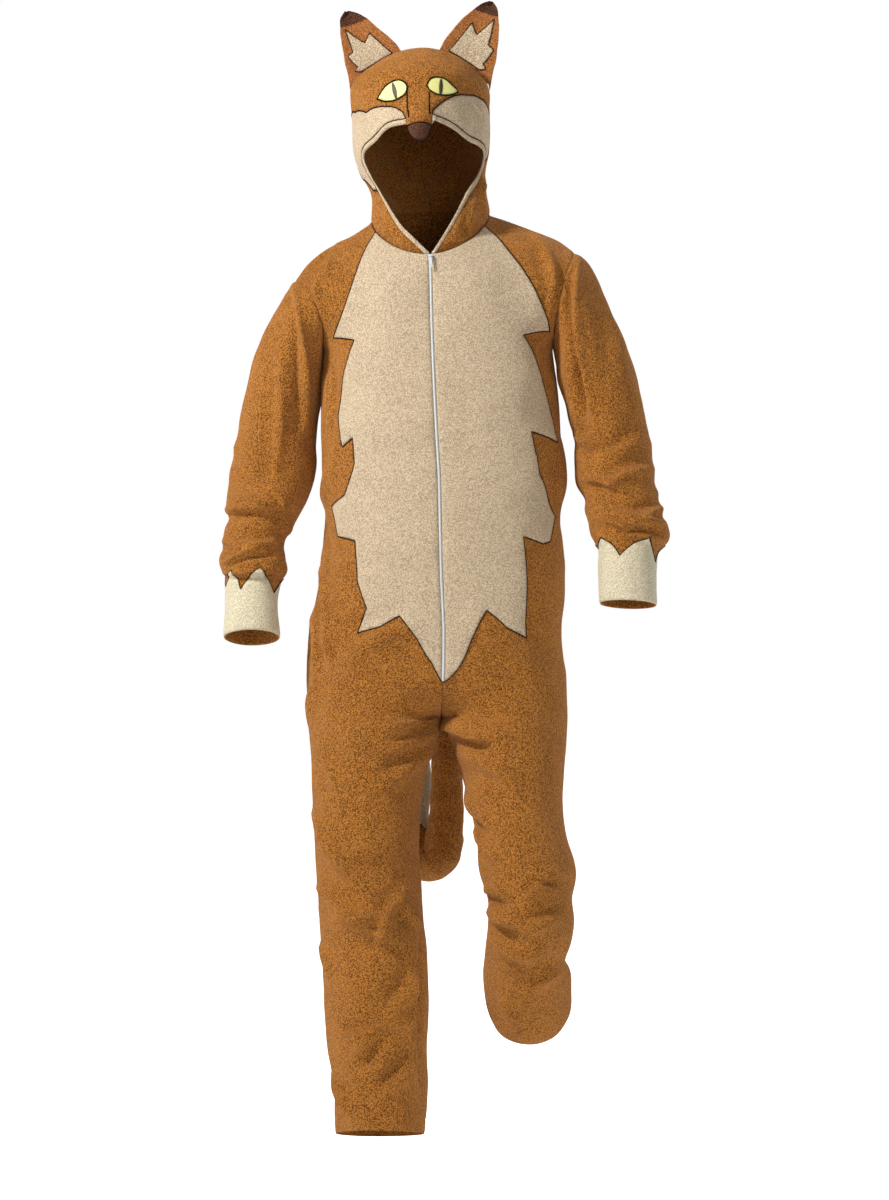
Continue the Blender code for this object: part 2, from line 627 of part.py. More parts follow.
FINISHES = {
    "brown fleece": ((0.42, 0.165, 0.03), 0.95, 0.0),
    "cream fleece": ((0.72, 0.56, 0.36), 0.95, 0.0),
    "pale fleece": ((0.72, 0.64, 0.43), 0.95, 0.0),
    "ear fleece": ((0.38, 0.14, 0.035), 0.95, 0.0),
    "dark fleece": ((0.06, 0.022, 0.018), 0.95, 0.0),
    "eye satin": ((0.82, 0.82, 0.3), 0.5, 0.0),
    "black satin": ((0.01, 0.008, 0.008), 0.5, 0.0),
    "white metal": ((0.8, 0.8, 0.8), 0.35, 1.0),
    "white tape": ((0.85, 0.85, 0.83), 0.6, 0.0),
}


def material(name, finish):
    """Own material for one node."""
    colour, roughness, metallic = FINISHES[finish]
    made = bpy.data.materials.new(name)
    made.use_nodes = True
    shader = made.node_tree.nodes["Principled BSDF"]
    shader.inputs["Base Color"].default_value = (*colour, 1)
    shader.inputs["Roughness"].default_value = roughness
    shader.inputs["Metallic"].default_value = metallic
    return made


def inside(points, outline):
    """Which points lie in a closed outline."""
    x, y = points[:, 0], points[:, 1]
    result = np.zeros(len(points), bool)
    for (x1, y1), (x2, y2) in zip(outline, np.roll(outline, -1, 0)):
        crosses = (y1 > y) != (y2 > y)
        at = x1 + (y - y1) * (x2 - x1) / np.where(y2 == y1, 1e-12, y2 - y1)
        result ^= crosses & (x < at)
    return result


def triangulate(points, edges, near):
    """Constrained triangulation; returns its points and triangles."""
    out = delaunay_2d_cdt([tuple(p) for p in points], [tuple(e) for e in edges], [], 0, near)
    return np.array([tuple(p) for p in out[0]]), np.array([tuple(f) for f in out[2] if len(f) == 3])


def loop_edges(start, count):
    """Edges of a closed outline whose points start at a given number."""
    return [(start + i, start + (i + 1) % count) for i in range(count)]


def patch_on(base, outline, gap, thickness, near=1e-4):
    """Applique sheet cut along the facets of its base, a gap above it."""
    flat, tris = base["flat"], base["tris"]
    low, high = outline.min(0), outline.max(0)
    corners = flat[tris]
    close = np.all((corners.max(1) >= low) & (corners.min(1) <= high), axis=1)
    tris = tris[close]
    edges = {tuple(sorted((int(t[i]), int(t[(i + 1) % 3])))) for t in tris for i in range(3)}
    used = sorted({i for e in edges for i in e})
    index = {v: k for k, v in enumerate(used)}
    points = np.concatenate((flat[used], outline))
    lines = [(index[a], index[b]) for a, b in edges] + loop_edges(len(used), len(outline))
    cut, faces = triangulate(points, lines, near)
    keep = inside(cut[faces].mean(1), outline)
    faces = faces[keep]
    where, weight = locate(cut, flat[tris])
    surface = base["points"] + base["normal"] * gap
    spot = (surface[tris[where]] * weight[..., None]).sum(1)
    normal = unit((base["normal"][tris[where]] * weight[..., None]).sum(1))
    return {"flat": cut, "tris": faces, "points": spot + normal * thickness, "normal": normal}


def locate(points, corners):
    """Triangle that holds each flat point and the point's weights in it."""
    a, b, c = corners[:, 0], corners[:, 1], corners[:, 2]
    area = (b[:, 0] - a[:, 0]) * (c[:, 1] - a[:, 1]) - (b[:, 1] - a[:, 1]) * (c[:, 0] - a[:, 0])
    p = points[:, None]
    wb = ((p[..., 0] - a[:, 0]) * (c[:, 1] - a[:, 1]) - (p[..., 1] - a[:, 1]) * (c[:, 0] - a[:, 0])) / area
    wc = ((b[:, 0] - a[:, 0]) * (p[..., 1] - a[:, 1]) - (b[:, 1] - a[:, 1]) * (p[..., 0] - a[:, 0])) / area
    weight = np.stack([1 - wb - wc, wb, wc], -1)
    best = weight.min(-1).argmax(1)
    chosen = np.clip(weight[np.arange(len(points)), best], 0, 1)
    return best, chosen / chosen.sum(-1, keepdims=True)


def finer(outline, longest):
    """Closed outline with points added so no side is longer than the given length."""
    out = []
    for a, b in zip(outline, np.roll(outline, -1, 0)):
        count = max(1, math.ceil(np.linalg.norm(b - a) / longest))
        out += [a + (b - a) * k / count for k in range(count)]
    return np.array(out)


def disc(theta, row):
    """Flat place on the hood: the crown is the middle and the neck seam the edge."""
    r = 1 - np.asarray(row, float) / POLE_ROW
    return np.stack([r * np.sin(theta), -r * np.cos(theta)], -1)


def disc_point(flat):
    """Hood surface point of a flat place, in metres."""
    r = np.hypot(flat[..., 0], flat[..., 1])
    theta = np.arctan2(flat[..., 0], -flat[..., 1])
    return hood_point(theta, (1 - r) * POLE_ROW) * MM


def disc_normal(flat):
    """Outward unit normal of the hood surface."""
    step = 1e-3
    across = disc_point(flat + [step, 0]) - disc_point(flat - [step, 0])
    along = disc_point(flat + [0, step]) - disc_point(flat - [0, step])
    normal = unit(np.cross(across, along))
    middle = np.array([-0.025, 0.016, 0.12])
    return normal * np.sign(np.sum(normal * (disc_point(flat) - middle), -1, keepdims=True))


def on_hood(outline, steps=1):
    """Flat places of an outline given by angle and height, with smooth steps between its rows."""
    at = np.linspace(0, len(outline["z"]) - 1, (len(outline["z"]) - 1) * steps + 1)
    outline = {name: spline(column, at) for name, column in outline.items()}
    theta = np.radians(outline["theta"])
    low, high = np.zeros(len(theta)) - 0.4, np.zeros(len(theta)) + POLE_ROW
    for _ in range(40):
        row = (low + high) / 2
        short = hood_point(theta, row)[:, 2] < outline["z"]
        low, high = np.where(short, row, low), np.where(short, high, row)
    return disc(theta, (low + high) / 2)


def grown(outline, distance):
    """Outline moved outward over the hood by a distance in metres."""
    before, after = np.roll(outline, 1, 0), np.roll(outline, -1, 0)
    along = unit(after - before)
    side = np.stack([along[:, 1], -along[:, 0]], -1)
    side *= np.sign(np.sum(outline[:, 0] * after[:, 1] - outline[:, 1] * after[:, 0]))
    step = 1e-3
    scale = np.linalg.norm(disc_point(outline + side * step) - disc_point(outline), axis=-1) / step
    return outline + side * (distance / scale)[:, None]


def hood_outlines():
    """Closed outlines of the hood's opening, binding, nose, cheeks and face, on the flat disc."""
    nose = on_hood(NOSE)
    hole = on_hood(OPENING, OPENING_STEPS)
    low, after = OPENING_LOW * OPENING_STEPS, (OPENING_LOW + 1) * OPENING_STEPS
    past_neck = hole[low:after + 1] * OPENING_PAST
    hole_edge = np.concatenate((hole[:low + 1], past_neck, hole[after:], nose))
    rim = grown(finer(hole, LONGEST_SIDE / 2), BINDING_WIDTH)
    corner = [k * OPENING_STEPS for k in (6, 5, 4, 3, 2, 1)], [k * OPENING_STEPS for k in (16, 17, 18, 19)]
    face = {side: on_hood(CHEEK[side]) for side in SIDES}
    back = on_hood(FACE_BACK)
    brow_right = face["right"][:9]
    brow_left = face["left"][:8]
    brow = np.concatenate((brow_right, back, brow_left[::-1], nose[[0]], nose[[6]]))
    cheeks = {
        "right": np.concatenate((face["right"], hole[corner[0]] * CHEEK_PAST)),
        "left": np.concatenate((face["left"], hole[corner[1]] * CHEEK_PAST)),
    }
    return {"hole": hole_edge, "rim": rim, "nose": nose, "brow": brow, "cheeks": cheeks}


def hood_sheets():
    """Sheets of every piece of the hood, cut from one triangulation of its surface."""
    lines = hood_outlines()
    spokes = np.radians(np.arange(0, 360, 360 / HOOD_SPOKES) - 180)
    grid = [disc(spokes, row) for row in HOOD_RINGS]
    corners = np.arange(0, 2 * np.pi, np.pi / COLUMNS / 2) - np.pi
    edge = disc(corners, 0)
    steps = HOOD_SEAM_STEPS + 1
    seam = disc(np.pi + np.zeros(steps), np.linspace(0, POLE_ROW, steps))
    loops = [lines["hole"], lines["rim"], lines["nose"], lines["brow"], *lines["cheeks"].values()]
    loops = [finer(loop, LONGEST_SIDE) for loop in loops]
    points, edges = [edge], loop_edges(0, len(edge))
    for loop in loops:
        edges += loop_edges(sum(map(len, points)), len(loop))
        points.append(loop)
    start = sum(map(len, points))
    points.append(seam)
    edges += [(start + i, start + i + 1) for i in range(len(seam) - 1)]
    fixed = np.concatenate(points)
    free = np.concatenate(grid)
    apart = np.linalg.norm(free[:, None] - fixed[None], axis=-1).min(1) > LEAST_APART
    flat, tris = triangulate(np.concatenate((fixed, free[apart])), edges, 0.002)
    middle = flat[tris].mean(1)
    ring = inside(middle, edge)
    kinds = np.where(middle[:, 0] < 0, "hood_right", "hood_left").astype(object)
    kinds[inside(middle, loops[3])] = "face_panel"
    kinds[inside(middle, loops[4]) & ~inside(middle, loops[3])] = "cheek_right"
    kinds[inside(middle, loops[5]) & ~inside(middle, loops[3])] = "cheek_left"
    bound = inside(middle, loops[1]) & (kinds != "face_panel")
    kinds[bound & (middle[:, 0] < 0)] = "binding_right"
    kinds[bound & (middle[:, 0] >= 0)] = "binding_left"
    kinds[inside(middle, loops[0])] = "hole"
    kinds[inside(middle, loops[2])] = "nose"
    points3, normal = disc_point(flat), disc_normal(flat)
    rim = np.zeros(len(flat), bool)
    seam_points = disc_point(edge[::2])
    for k, (a, b) in enumerate(zip(edge, np.roll(edge, -1, 0))):
        t = np.clip((flat - a) @ (b - a) / ((b - a) @ (b - a)), 0, 1)[:, None]
        on = np.linalg.norm(flat - (a + t * (b - a)), axis=-1) < 1e-3
        ends = seam_points[k // 2], seam_points[(k // 2 + 1) % len(seam_points)]
        share = (k % 2 + t) / 2
        points3[on] = ((1 - share) * ends[0] + share * ends[1])[on] + HALF_GAP * NECK_UP
        rim |= on
    normal[rim] = lean_off(normal[rim], -NECK_UP)
    kinds[~ring] = "hole"
    kinds = islands_joined(tris, kinds)
    sheets = {}
    for kind in sorted(set(kinds) - {"hole"}):
        chosen = tris[kinds == kind]
        sheets[kind] = drawn_in({"flat": flat, "tris": chosen, "points": points3, "normal": normal}, rim)
    return sheets


def islands_joined(tris, kinds):
    """Kinds of the triangles with every small island given to a piece beside it."""
    sides = {}
    for n, t in enumerate(tris):
        for i in range(3):
            sides.setdefault(frozenset((int(t[i]), int(t[(i + 1) % 3]))), []).append(n)
    beside = {n: [] for n in range(len(tris))}
    for pair in sides.values():
        if len(pair) == 2:
            beside[pair[0]].append(pair[1])
            beside[pair[1]].append(pair[0])
    kinds = kinds.copy()
    for kind in sorted(set(kinds) - {"hole"}):
        left, groups = set(np.flatnonzero(kinds == kind)), []
        while left:
            group, edge = set(), [left.pop()]
            while edge:
                n = edge.pop()
                group.add(n)
                near = [m for m in beside[n] if m in left]
                left.difference_update(near)
                edge += near
            groups.append(group)
        for group in sorted(groups, key=len)[:-1]:
            around = [kinds[m] for n in group for m in beside[n] if kinds[m] not in (kind, "hole")]
            for n in group:
                kinds[n] = max(set(around), key=around.count) if around else "hole"
    return kinds


def drawn_in(sheet, keep):
    """Sheet with its rim points moved inward by half the seam gap, except those marked."""
    tris = facing_out(sheet)
    points = sheet["points"].copy()
    push = {}
    edge_face = {(int(t[i]), int(t[(i + 1) % 3])): t for t in tris for i in range(3)}
    for a, b in rim_edges(tris):
        t = edge_face[a, b]
        third = [int(v) for v in t if v not in (a, b)][0]
        pa, pb, pc = sheet["points"][[a, b, third]]
        along = unit(pb - pa)
        inward = (pc - pa) - along * ((pc - pa) @ along)
        for v in (a, b):
            push.setdefault(v, []).append(unit(inward))
    for v, ways in push.items():
        if not keep[v]:
            total = np.sum(ways, 0)
            spread = max(total @ total, 0.5)
            points[v] += HALF_GAP * total * len(ways) / spread
    return {**sheet, "tris": tris, "points": points}


def make_body(grids):
    """Fronts and backs, with the belly halves laid on the fronts."""
    for side in SIDES:
        for face in ("front", "back"):
            sheet = body_sheet(side, face, grids)
            wall(face + "_" + side, sheet, CLOTH, "brown fleece")
            if face == "front":
                outline = belly_outline(side, grids)
                wall("belly_" + side, patch_on(sheet, outline, GAP, PATCH), PATCH, "cream fleece")


def belly_outline(side, grids):
    """Belly edge in the front panel's grid numbers, closed along the zip."""
    grid = grids[side, "front"][0]
    rows, columns = np.meshgrid(np.arange(grid.shape[0]), np.arange(grid.shape[1]), indexing="ij")
    places = []
    for x, z in zip(BELLY[side]["x"], BELLY[side]["z"]):
        miss = np.hypot(grid[..., 0] - x, grid[..., 2] - z)
        k = np.unravel_index(miss.argmin(), miss.shape)
        places.append(refine(grid, k, x, z))
    places = np.array(places) / FINE
    places[0, 1] = 0
    places[-1, 0] = 0
    return np.concatenate((places, [[0, 0]]))


def refine(grid, k, x, z):
    """Fractional column and row of a front-view point, near a grid point."""
    r = min(max(k[0], 1), grid.shape[0] - 2)
    c = min(max(k[1], 1), grid.shape[1] - 2)
    here = grid[r, c, [0, 2]]
    across = (grid[r, c + 1] - grid[r, c - 1])[[0, 2]] / 2
    down = (grid[r + 1, c] - grid[r - 1, c])[[0, 2]] / 2
    step = np.linalg.solve(np.stack([across, down], 1), np.array([x, z]) - here)
    step = np.clip(step, -1.5, 1.5)
    return max(c + step[0], 0), max(r + step[1], 0)


def make_sleeves():
    """Sleeves and the cuffs laid over their ends."""
    for side in SIDES:
        grid, normal = sleeve_grid(side)
        points, normal = grid[::FINE, ::FINE] * MM, normal[::FINE, ::FINE].copy()
        arm = arm_direction(side)
        points[0] += HALF_GAP * arm
        normal[0] = lean_off(normal[0], -arm)
        normal[:, -1] = normal[:, 0]
        sheet = grid_sheet(points, normal)
        wall("sleeve_" + side, sheet, CLOTH, "brown fleece")
        wall("cuff_" + side, patch_on(sheet, cuff_outline(side), GAP, PATCH), PATCH, "pale fleece")


def cuff_outline(side):
    """Cuff with its zigzag upper edge, in the sleeve's grid numbers."""
    last = len(SLEEVE[side]["y"]) - 1
    teeth = np.stack([CUFF[side]["angle"] / 360 * SLEEVE_COLUMNS, CUFF[side]["row"]], 1)
    return np.concatenate((teeth, [(SLEEVE_COLUMNS, last), (0, last)]))


def make_hood(sheets):
    """Hood pieces, then the eyes, pupils and tear lines laid on the face panel."""
    finish = {"hood": "brown fleece", "face": "brown fleece", "cheek": "cream fleece",
              "binding": "cream fleece", "nose": "dark fleece"}
    for kind, sheet in sheets.items():
        rise = BINDING_RISE if kind.startswith("binding") else 0.0
        wall(kind, sheet, CLOTH + rise, finish[kind.split("_")[0]], rise)
    for side in SIDES:
        eye = patch_on(sheets["face_panel"], on_hood(EYE[side]), GAP, PATCH)
        wall("eye_" + side, eye, PATCH, "eye satin")
        wall("pupil_" + side, patch_on(eye, on_hood(PUPIL[side]), GAP, PATCH), PATCH, "black satin")
        tear = patch_on(sheets["face_panel"], on_hood(TEAR[side]), GAP, PATCH)
        wall("tear_" + side, tear, PATCH, "black satin")


def ear_surface(sections, across, row, back):
    """Point on an ear's front or back; across is 0 at the outer edge and 1 at the inner edge."""
    at = {name: spline(column, row) for name, column in sections.items()}
    x = at["x_out"] + (at["x_in"] - at["x_out"]) * across
    z = at["z_out"] + (at["z_in"] - at["z_out"]) * across
    bulge = 4 * across * (1 - across)
    half = at["thick"] / 2 * (0.25 + 0.75 * np.sqrt(np.clip(bulge, 0, 1)))
    y = at["y"] + EAR_DISH * bulge + np.where(back, half, -half)
    if sections["seated"][0]:
        z = np.where(row == 0, crown_height(x, y) + EAR_LIFT, z)
    return np.stack([x, y, z], -1) * MM


def crown_height(x, y):
    """Height of the hood's surface over a point of its plan, in millimetres."""
    low, high = np.zeros(x.shape) + 3, np.zeros(x.shape) + POLE_ROW
    for _ in range(30):
        row = (low + high) / 2
        depth = np.where(y < spline(HOOD["y"], row), spline(HOOD["front"], row), spline(HOOD["back"], row))
        across = (x - spline(HOOD["mid"], row)) / np.maximum(spline(HOOD["half_width"], row), 1e-6)
        along = (y - spline(HOOD["y"], row)) / np.maximum(depth, 1e-6)
        within = across ** 2 + along ** 2 < 1
        low, high = np.where(within, row, low), np.where(within, high, row)
    return spline(HOOD["z"], (low + high) / 2)


def ear_solid(name, sections, lift, finish):
    """Closed lens between an ear's front and back surfaces, lofted by rings; lift raises its base."""
    across = np.linspace(0, 1, EAR_STEPS + 1)
    rows = np.arange(len(sections["y"]), dtype=float)
    u, r = np.meshgrid(across, rows)
    front = ear_surface(sections, u, r, False)
    rear = ear_surface(sections, u, r, True)
    front[0, :, 2] += lift
    rear[0, :, 2] += lift
    rings = np.concatenate((front, rear[:, ::-1]), 1)
    count, size = rings.shape[:2]
    faces = [tuple(range(size))[::-1], tuple((count - 1) * size + i for i in range(size))]
    for k in range(count - 1):
        for i in range(size):
            a, b = k * size + i, k * size + (i + 1) % size
            faces += [(a, b, b + size), (a, b + size, a + size)]
    vertices = rings.reshape(-1, 3)
    return solid(name, vertices, triangles_of(vertices, faces), finish)


def triangles_of(vertices, faces):
    """Faces with every long end ring cut into strips across it."""
    out = []
    for face in faces:
        if len(face) <= 3:
            out.append(face)
            continue
        low, high = 0, len(face) - 1
        while high - low > 1:
            out.append((face[low], face[low + 1], face[high]))
            if high - low > 2:
                out.append((face[low + 1], face[high - 1], face[high]))
            low, high = low + 1, high - 1
    return out


def make_ears():
    """Padded ears, their pale fur appliques and dark tips."""
    for side in SIDES:
        sections = EAR[side]
        ear_solid("ear_" + side, sections, 0.0, "ear fleece")
        ear_solid("ear_tip_" + side, EAR_TIP[side], GAP, "dark fleece")
        rows = np.arange(len(sections["y"]), dtype=float)
        u, r = np.meshgrid(np.linspace(0, 1, EAR_STEPS + 1), rows)
        front = ear_surface(sections, u, r, False)
        normal = normals_of(front, np.array([0.0, -1.0, 0.0]))
        base = grid_sheet(front, normal)
        fur = np.stack([EAR_FUR["across"] * EAR_STEPS, EAR_FUR["up"] * (len(rows) - 1)], -1)
        wall("ear_fur_" + side, patch_on(base, fur, GAP, PATCH), PATCH, "cream fleece")


def make_tail():
    """Stuffed tail and its pale tip, two solids a gap apart."""
    last = len(TAIL["x"]) - 1
    cut = TAIL_TIP_ROW
    body_rows = np.concatenate((np.arange(0, cut - 0.2, 0.5), [cut]))
    tip_rows = np.concatenate(([cut], np.arange(math.ceil(cut), last + 0.2, 0.5)))
    tail_solid("tail", body_rows, 0.0, "brown fleece")
    tail_solid("tail_tip", tip_rows, GAP, "cream fleece")


def tail_solid(name, rows, shift, finish):
    """Closed tube round the tail's centre line."""
    centre = np.stack([spline(TAIL[k], rows) for k in "xyz"], -1) * MM
    ahead = np.stack([spline(TAIL[k], rows + 0.05) for k in "xyz"], -1) * MM
    along = unit(ahead - centre)
    centre = centre + along * shift
    side = unit(np.cross(along, [0.0, 1.0, 0.25]))
    other = np.cross(along, side)
    angle = np.radians(np.arange(0, 360, 360 / TAIL_SIDES))[None, :, None]
    radius = (spline(TAIL["radius"], rows) * MM)[:, None, None]
    rings = centre[:, None] + radius * (side[:, None] * np.cos(angle) + other[:, None] * np.sin(angle))
    count, size = rings.shape[:2]
    faces = [tuple(range(size))[::-1], tuple((count - 1) * size + i for i in range(size))]
    for k in range(count - 1):
        for i in range(size):
            a, b = k * size + i, k * size + (i + 1) % size
            faces += [(a, b, b + size), (a, b + size, a + size)]
    return solid(name, rings.reshape(-1, 3), triangles_of(rings, faces), finish)


# Zip sizes in metres
CHAIN_RISE = 0.001
CHAIN_SHORT = 0.002
SLIDER = {"width": 0.007, "length": 0.009, "thick": 0.0022, "rise": 0.0031, "keel": 0.003, "weld": 0.0004}
LUG = {"x": 0.0026, "width": 0.0012, "length": 0.003, "over": 0.0018}
PULL = {"width": 0.0052, "length": 0.0175, "thick": 0.0012, "hole": 0.0015, "hole_up": 0.003, "start": 0.0012}
NECK = {"width": 0.003, "length": 0.005, "down": 0.002}
SLOT = {"width": 0.02, "length": 0.0052, "depth": 0.004, "down": 0.001}
HINGE = {"bar": 0.0008, "bore": 0.0011, "eye": 0.0022, "eye_length": 0.003, "rise": 0.0026, "drop": 0.004}
CUT_LENGTH = 0.01


def make_zip(grids):
    """Zip chain down the centre front, the slider at its top and the hinged pull."""
    end = YOKE_ROWS + ZIP_END_ROW
    line = grids["right", "front"][0][::FINE, 0][:end + 1] * MM
    normal = lean_off(grids["right", "front"][1][::FINE, 0][:end + 1], np.array([1.0, 0, 0]))
    normal = lean_off(normal, np.array([-1.0, 0, 0]))
    line[0] -= CHAIN_SHORT * NECK_UP
    after = grids["right", "front"][0][(end + 1) * FINE, 0] * MM
    line = np.concatenate((line, [line[-1] + ZIP_TAPER * (after - line[-1])]))
    normal = np.concatenate((normal, normal[-1:]))
    half = np.full(len(line), ZIP_HALF)
    half[-1] *= 1 - ZIP_TAPER
    across = half[:, None] * [1, 0, 0]
    points = np.stack([line - across, line + across], 1)
    sheet = grid_sheet(points, np.stack([normal, normal], 1))
    wall("zip_chain", sheet, CLOTH + CHAIN_RISE, "white tape", CHAIN_RISE)
    top, slope = line[0], unit(line[1] - line[0])
    out = np.cross(np.array([1.0, 0, 0]), slope)
    out = out * np.sign(-out[1])
    make_slider(top, slope, out)


def place(obj, origin, slope, out):
    """Set an object made with x across, y up the zip and z outward onto the zip's top."""
    side = np.cross(-slope, out)
    frame = np.stack([side, -slope, out], 1)
    rows = [list(frame[i]) + [origin[i]] for i in range(3)] + [[0, 0, 0, 1]]
    obj.data.transform(Matrix(rows))


def box(name, centre, size, finish):
    """Plain box, a blank for the slider's parts."""
    work = bmesh.new()
    bmesh.ops.create_cube(work, size=1)
    for vertex in work.verts:
        for axis in range(3):
            vertex.co[axis] = vertex.co[axis] * size[axis] + centre[axis]
    return from_bmesh(name, work, finish)


def rod(name, centre, radius, length, finish, axis="X", sides=16):
    """Plain cylinder along x or z."""
    work = bmesh.new()
    bmesh.ops.create_cone(work, cap_ends=True, segments=sides, radius1=radius, radius2=radius, depth=length)
    if axis == "X":
        bmesh.ops.rotate(work, verts=work.verts, matrix=Matrix.Rotation(math.pi / 2, 3, "Y"))
    bmesh.ops.translate(work, verts=work.verts, vec=centre)
    return from_bmesh(name, work, finish)


def from_bmesh(name, work, finish):
    """Object in the costume's collection from a bmesh."""
    mesh = bpy.data.meshes.new(name)
    work.to_mesh(mesh)
    work.free()
    made = bpy.data.objects.new(name, mesh)
    COSTUME.objects.link(made)
    made.data.materials.append(material(name, finish))
    return made


def combine(base, tool, how):
    """Exact boolean of two objects, applied, with the tool removed."""
    change = base.modifiers.new(how, "BOOLEAN")
    change.operation = how
    change.solver = "EXACT"
    change.object = tool
    bpy.context.view_layer.update()
    depsgraph = bpy.context.evaluated_depsgraph_get()
    mesh = bpy.data.meshes.new_from_object(base.evaluated_get(depsgraph))
    base.modifiers.clear()
    base.data = mesh
    bpy.data.objects.remove(tool)


def make_slider(top, slope, out):
    """Slider with its hinge bar, and the pull whose eye turns on the bar."""
    bar_z = SLIDER["rise"] + SLIDER["thick"] + HINGE["rise"]
    pull = pull_tab(bar_z)
    place(slider_body(bar_z), top, slope, out)
    place(pull, top, slope, out)
    set_origin(pull, top + slope * HINGE["drop"] + out * bar_z)


def slider_body(bar_z):
    """Slider plate with its keel, two lugs and the hinge bar between them."""
    s, metal = SLIDER, "white metal"
    middle = -s["length"] / 2
    plate = (s["width"], s["length"], s["thick"])
    body = box("zip_slider", (0, middle, s["rise"] + s["thick"] / 2), plate, metal)
    low = CHAIN_RISE + GAP
    tall = s["rise"] - low + s["weld"]
    combine(body, box("keel", (0, middle, low + tall / 2), (s["keel"], s["length"], tall), metal), "UNION")
    lug_size = (LUG["width"], LUG["length"], HINGE["rise"] + LUG["over"])
    for x in (-LUG["x"], LUG["x"]):
        centre = (x, -HINGE["drop"], bar_z - HINGE["rise"] / 2)
        combine(body, box("lug", centre, lug_size, metal), "UNION")
    combine(body, rod("bar", (0, -HINGE["drop"], bar_z), HINGE["bar"], 2 * LUG["x"], metal), "UNION")
    return body


def pull_tab(bar_z):
    """Pull tab whose eye goes round the slider's hinge bar."""
    p, metal, drop = PULL, "white metal", -HINGE["drop"]
    centre = (0, drop - p["length"] / 2 - p["start"], bar_z)
    pull = box("zip_pull", centre, (p["width"], p["length"], p["thick"]), metal)
    slot = box("slot", (0, drop - SLOT["down"], bar_z), (SLOT["width"], SLOT["length"], SLOT["depth"]), metal)
    neck = box("neck", (0, drop - NECK["down"], bar_z), (NECK["width"], NECK["length"], p["thick"]), metal)
    combine(pull, slot, "DIFFERENCE")
    combine(pull, neck, "UNION")
    combine(pull, rod("eye", (0, drop, bar_z), HINGE["eye"], HINGE["eye_length"], metal), "UNION")
    combine(pull, rod("bore", (0, drop, bar_z), HINGE["bore"], CUT_LENGTH, metal), "DIFFERENCE")
    hole_y = drop - p["length"] + p["hole_up"]
    combine(pull, rod("hole", (0, hole_y, bar_z), p["hole"], CUT_LENGTH, metal, "Z"), "DIFFERENCE")
    return pull


def set_origin(obj, point):
    """Move an object's origin without moving its shape."""
    obj.data.transform(Matrix.Translation(-Vector(point)))
    obj.location = Vector(point)


def clear():
    """Start from an empty file."""
    for obj in list(bpy.data.objects):
        bpy.data.objects.remove(obj)


clear()
COSTUME = bpy.data.collections.new("fox_costume")
bpy.context.scene.collection.children.link(COSTUME)
GRIDS = {(side, face): body_grid(side, face) for side in SIDES for face in ("front", "back")}
make_body(GRIDS)
make_sleeves()
make_hood(hood_sheets())
make_ears()
make_tail()
make_zip(GRIDS)
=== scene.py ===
import math

import bmesh
import bpy
import numpy as np
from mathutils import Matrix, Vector, kdtree, noise
from mathutils.geometry import delaunay_2d_cdt


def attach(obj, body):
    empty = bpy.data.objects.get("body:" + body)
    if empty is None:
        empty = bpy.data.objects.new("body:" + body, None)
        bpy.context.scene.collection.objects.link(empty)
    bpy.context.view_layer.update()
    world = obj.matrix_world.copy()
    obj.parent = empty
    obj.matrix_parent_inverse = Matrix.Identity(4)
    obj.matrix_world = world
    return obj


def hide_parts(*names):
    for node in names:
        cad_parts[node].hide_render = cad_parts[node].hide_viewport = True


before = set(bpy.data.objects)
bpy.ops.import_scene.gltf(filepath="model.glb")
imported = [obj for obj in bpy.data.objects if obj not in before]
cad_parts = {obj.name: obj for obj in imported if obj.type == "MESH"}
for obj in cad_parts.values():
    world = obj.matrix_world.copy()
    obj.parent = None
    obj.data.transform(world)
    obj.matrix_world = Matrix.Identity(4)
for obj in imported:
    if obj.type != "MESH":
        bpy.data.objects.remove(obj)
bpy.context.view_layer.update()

# Driving sizes in millimetres, the same as the solids'
MM = 0.001
CLOTH = 2.0
PATCH = 1.5
GAP = 0.3
ZIP_HALF = 2.0
ZIP_END_ROW = 11
SQUARENESS = 0.84
COLUMNS = 8
YOKE_ROWS = 8
FINE = 4
SLEEVE_COLUMNS = 16
SIDES = {"right": -1, "left": 1}
# Middle of a body half, sideways from the zip
HALF_MIDDLE = 90.0


def table(names, rows):
    """Columns by name, from rows in millimetres or degrees."""
    return {name: np.array(column, float) for name, column in zip(names.split(), zip(*rows))}


# Torso rings from the armpit down to the crotch; close turns a half ring into a leg ring
TORSO = table("z mid right left y front back close drop", [
    (-192, -9, -181, 182, 0, 118, 120, 0, 0), (-235, -7, -184, 187, 0, 122, 119, 0, 0),
    (-280, -5, -186, 191, 0, 126, 116, 0, 0), (-340, -2, -187, 196, 0, 130, 112, 0, 0),
    (-408, 2, -185, 203, 0, 132, 108, 0, 0), (-456, 3, -181, 194, 0, 132, 110, 0, 0),
    (-504, 4, -184, 199, 0, 131, 116, 0, 0), (-550, 5, -188, 203, 0, 130, 124, 0, 0),
    (-600, 7, -195, 202, 0, 128, 132, 0, 0), (-640, 9, -206, 198, 0, 127, 138, 0, 0),
    (-690, 9, -210, 200, 0, 126, 140, 0, 0), (-715, 8, -210, 204, -2, 126, 140, 20, -12),
    (-737, 7, -210, 205, -4, 125, 138, 40, -19), (-760, 6, -209, 206, -6, 123, 136, 58, -16),
    (-785, 6, -208, 206, -9, 121, 133, 75, -2), (-812, 6, -206, 205, -11, 119, 130, 90, 22),
])
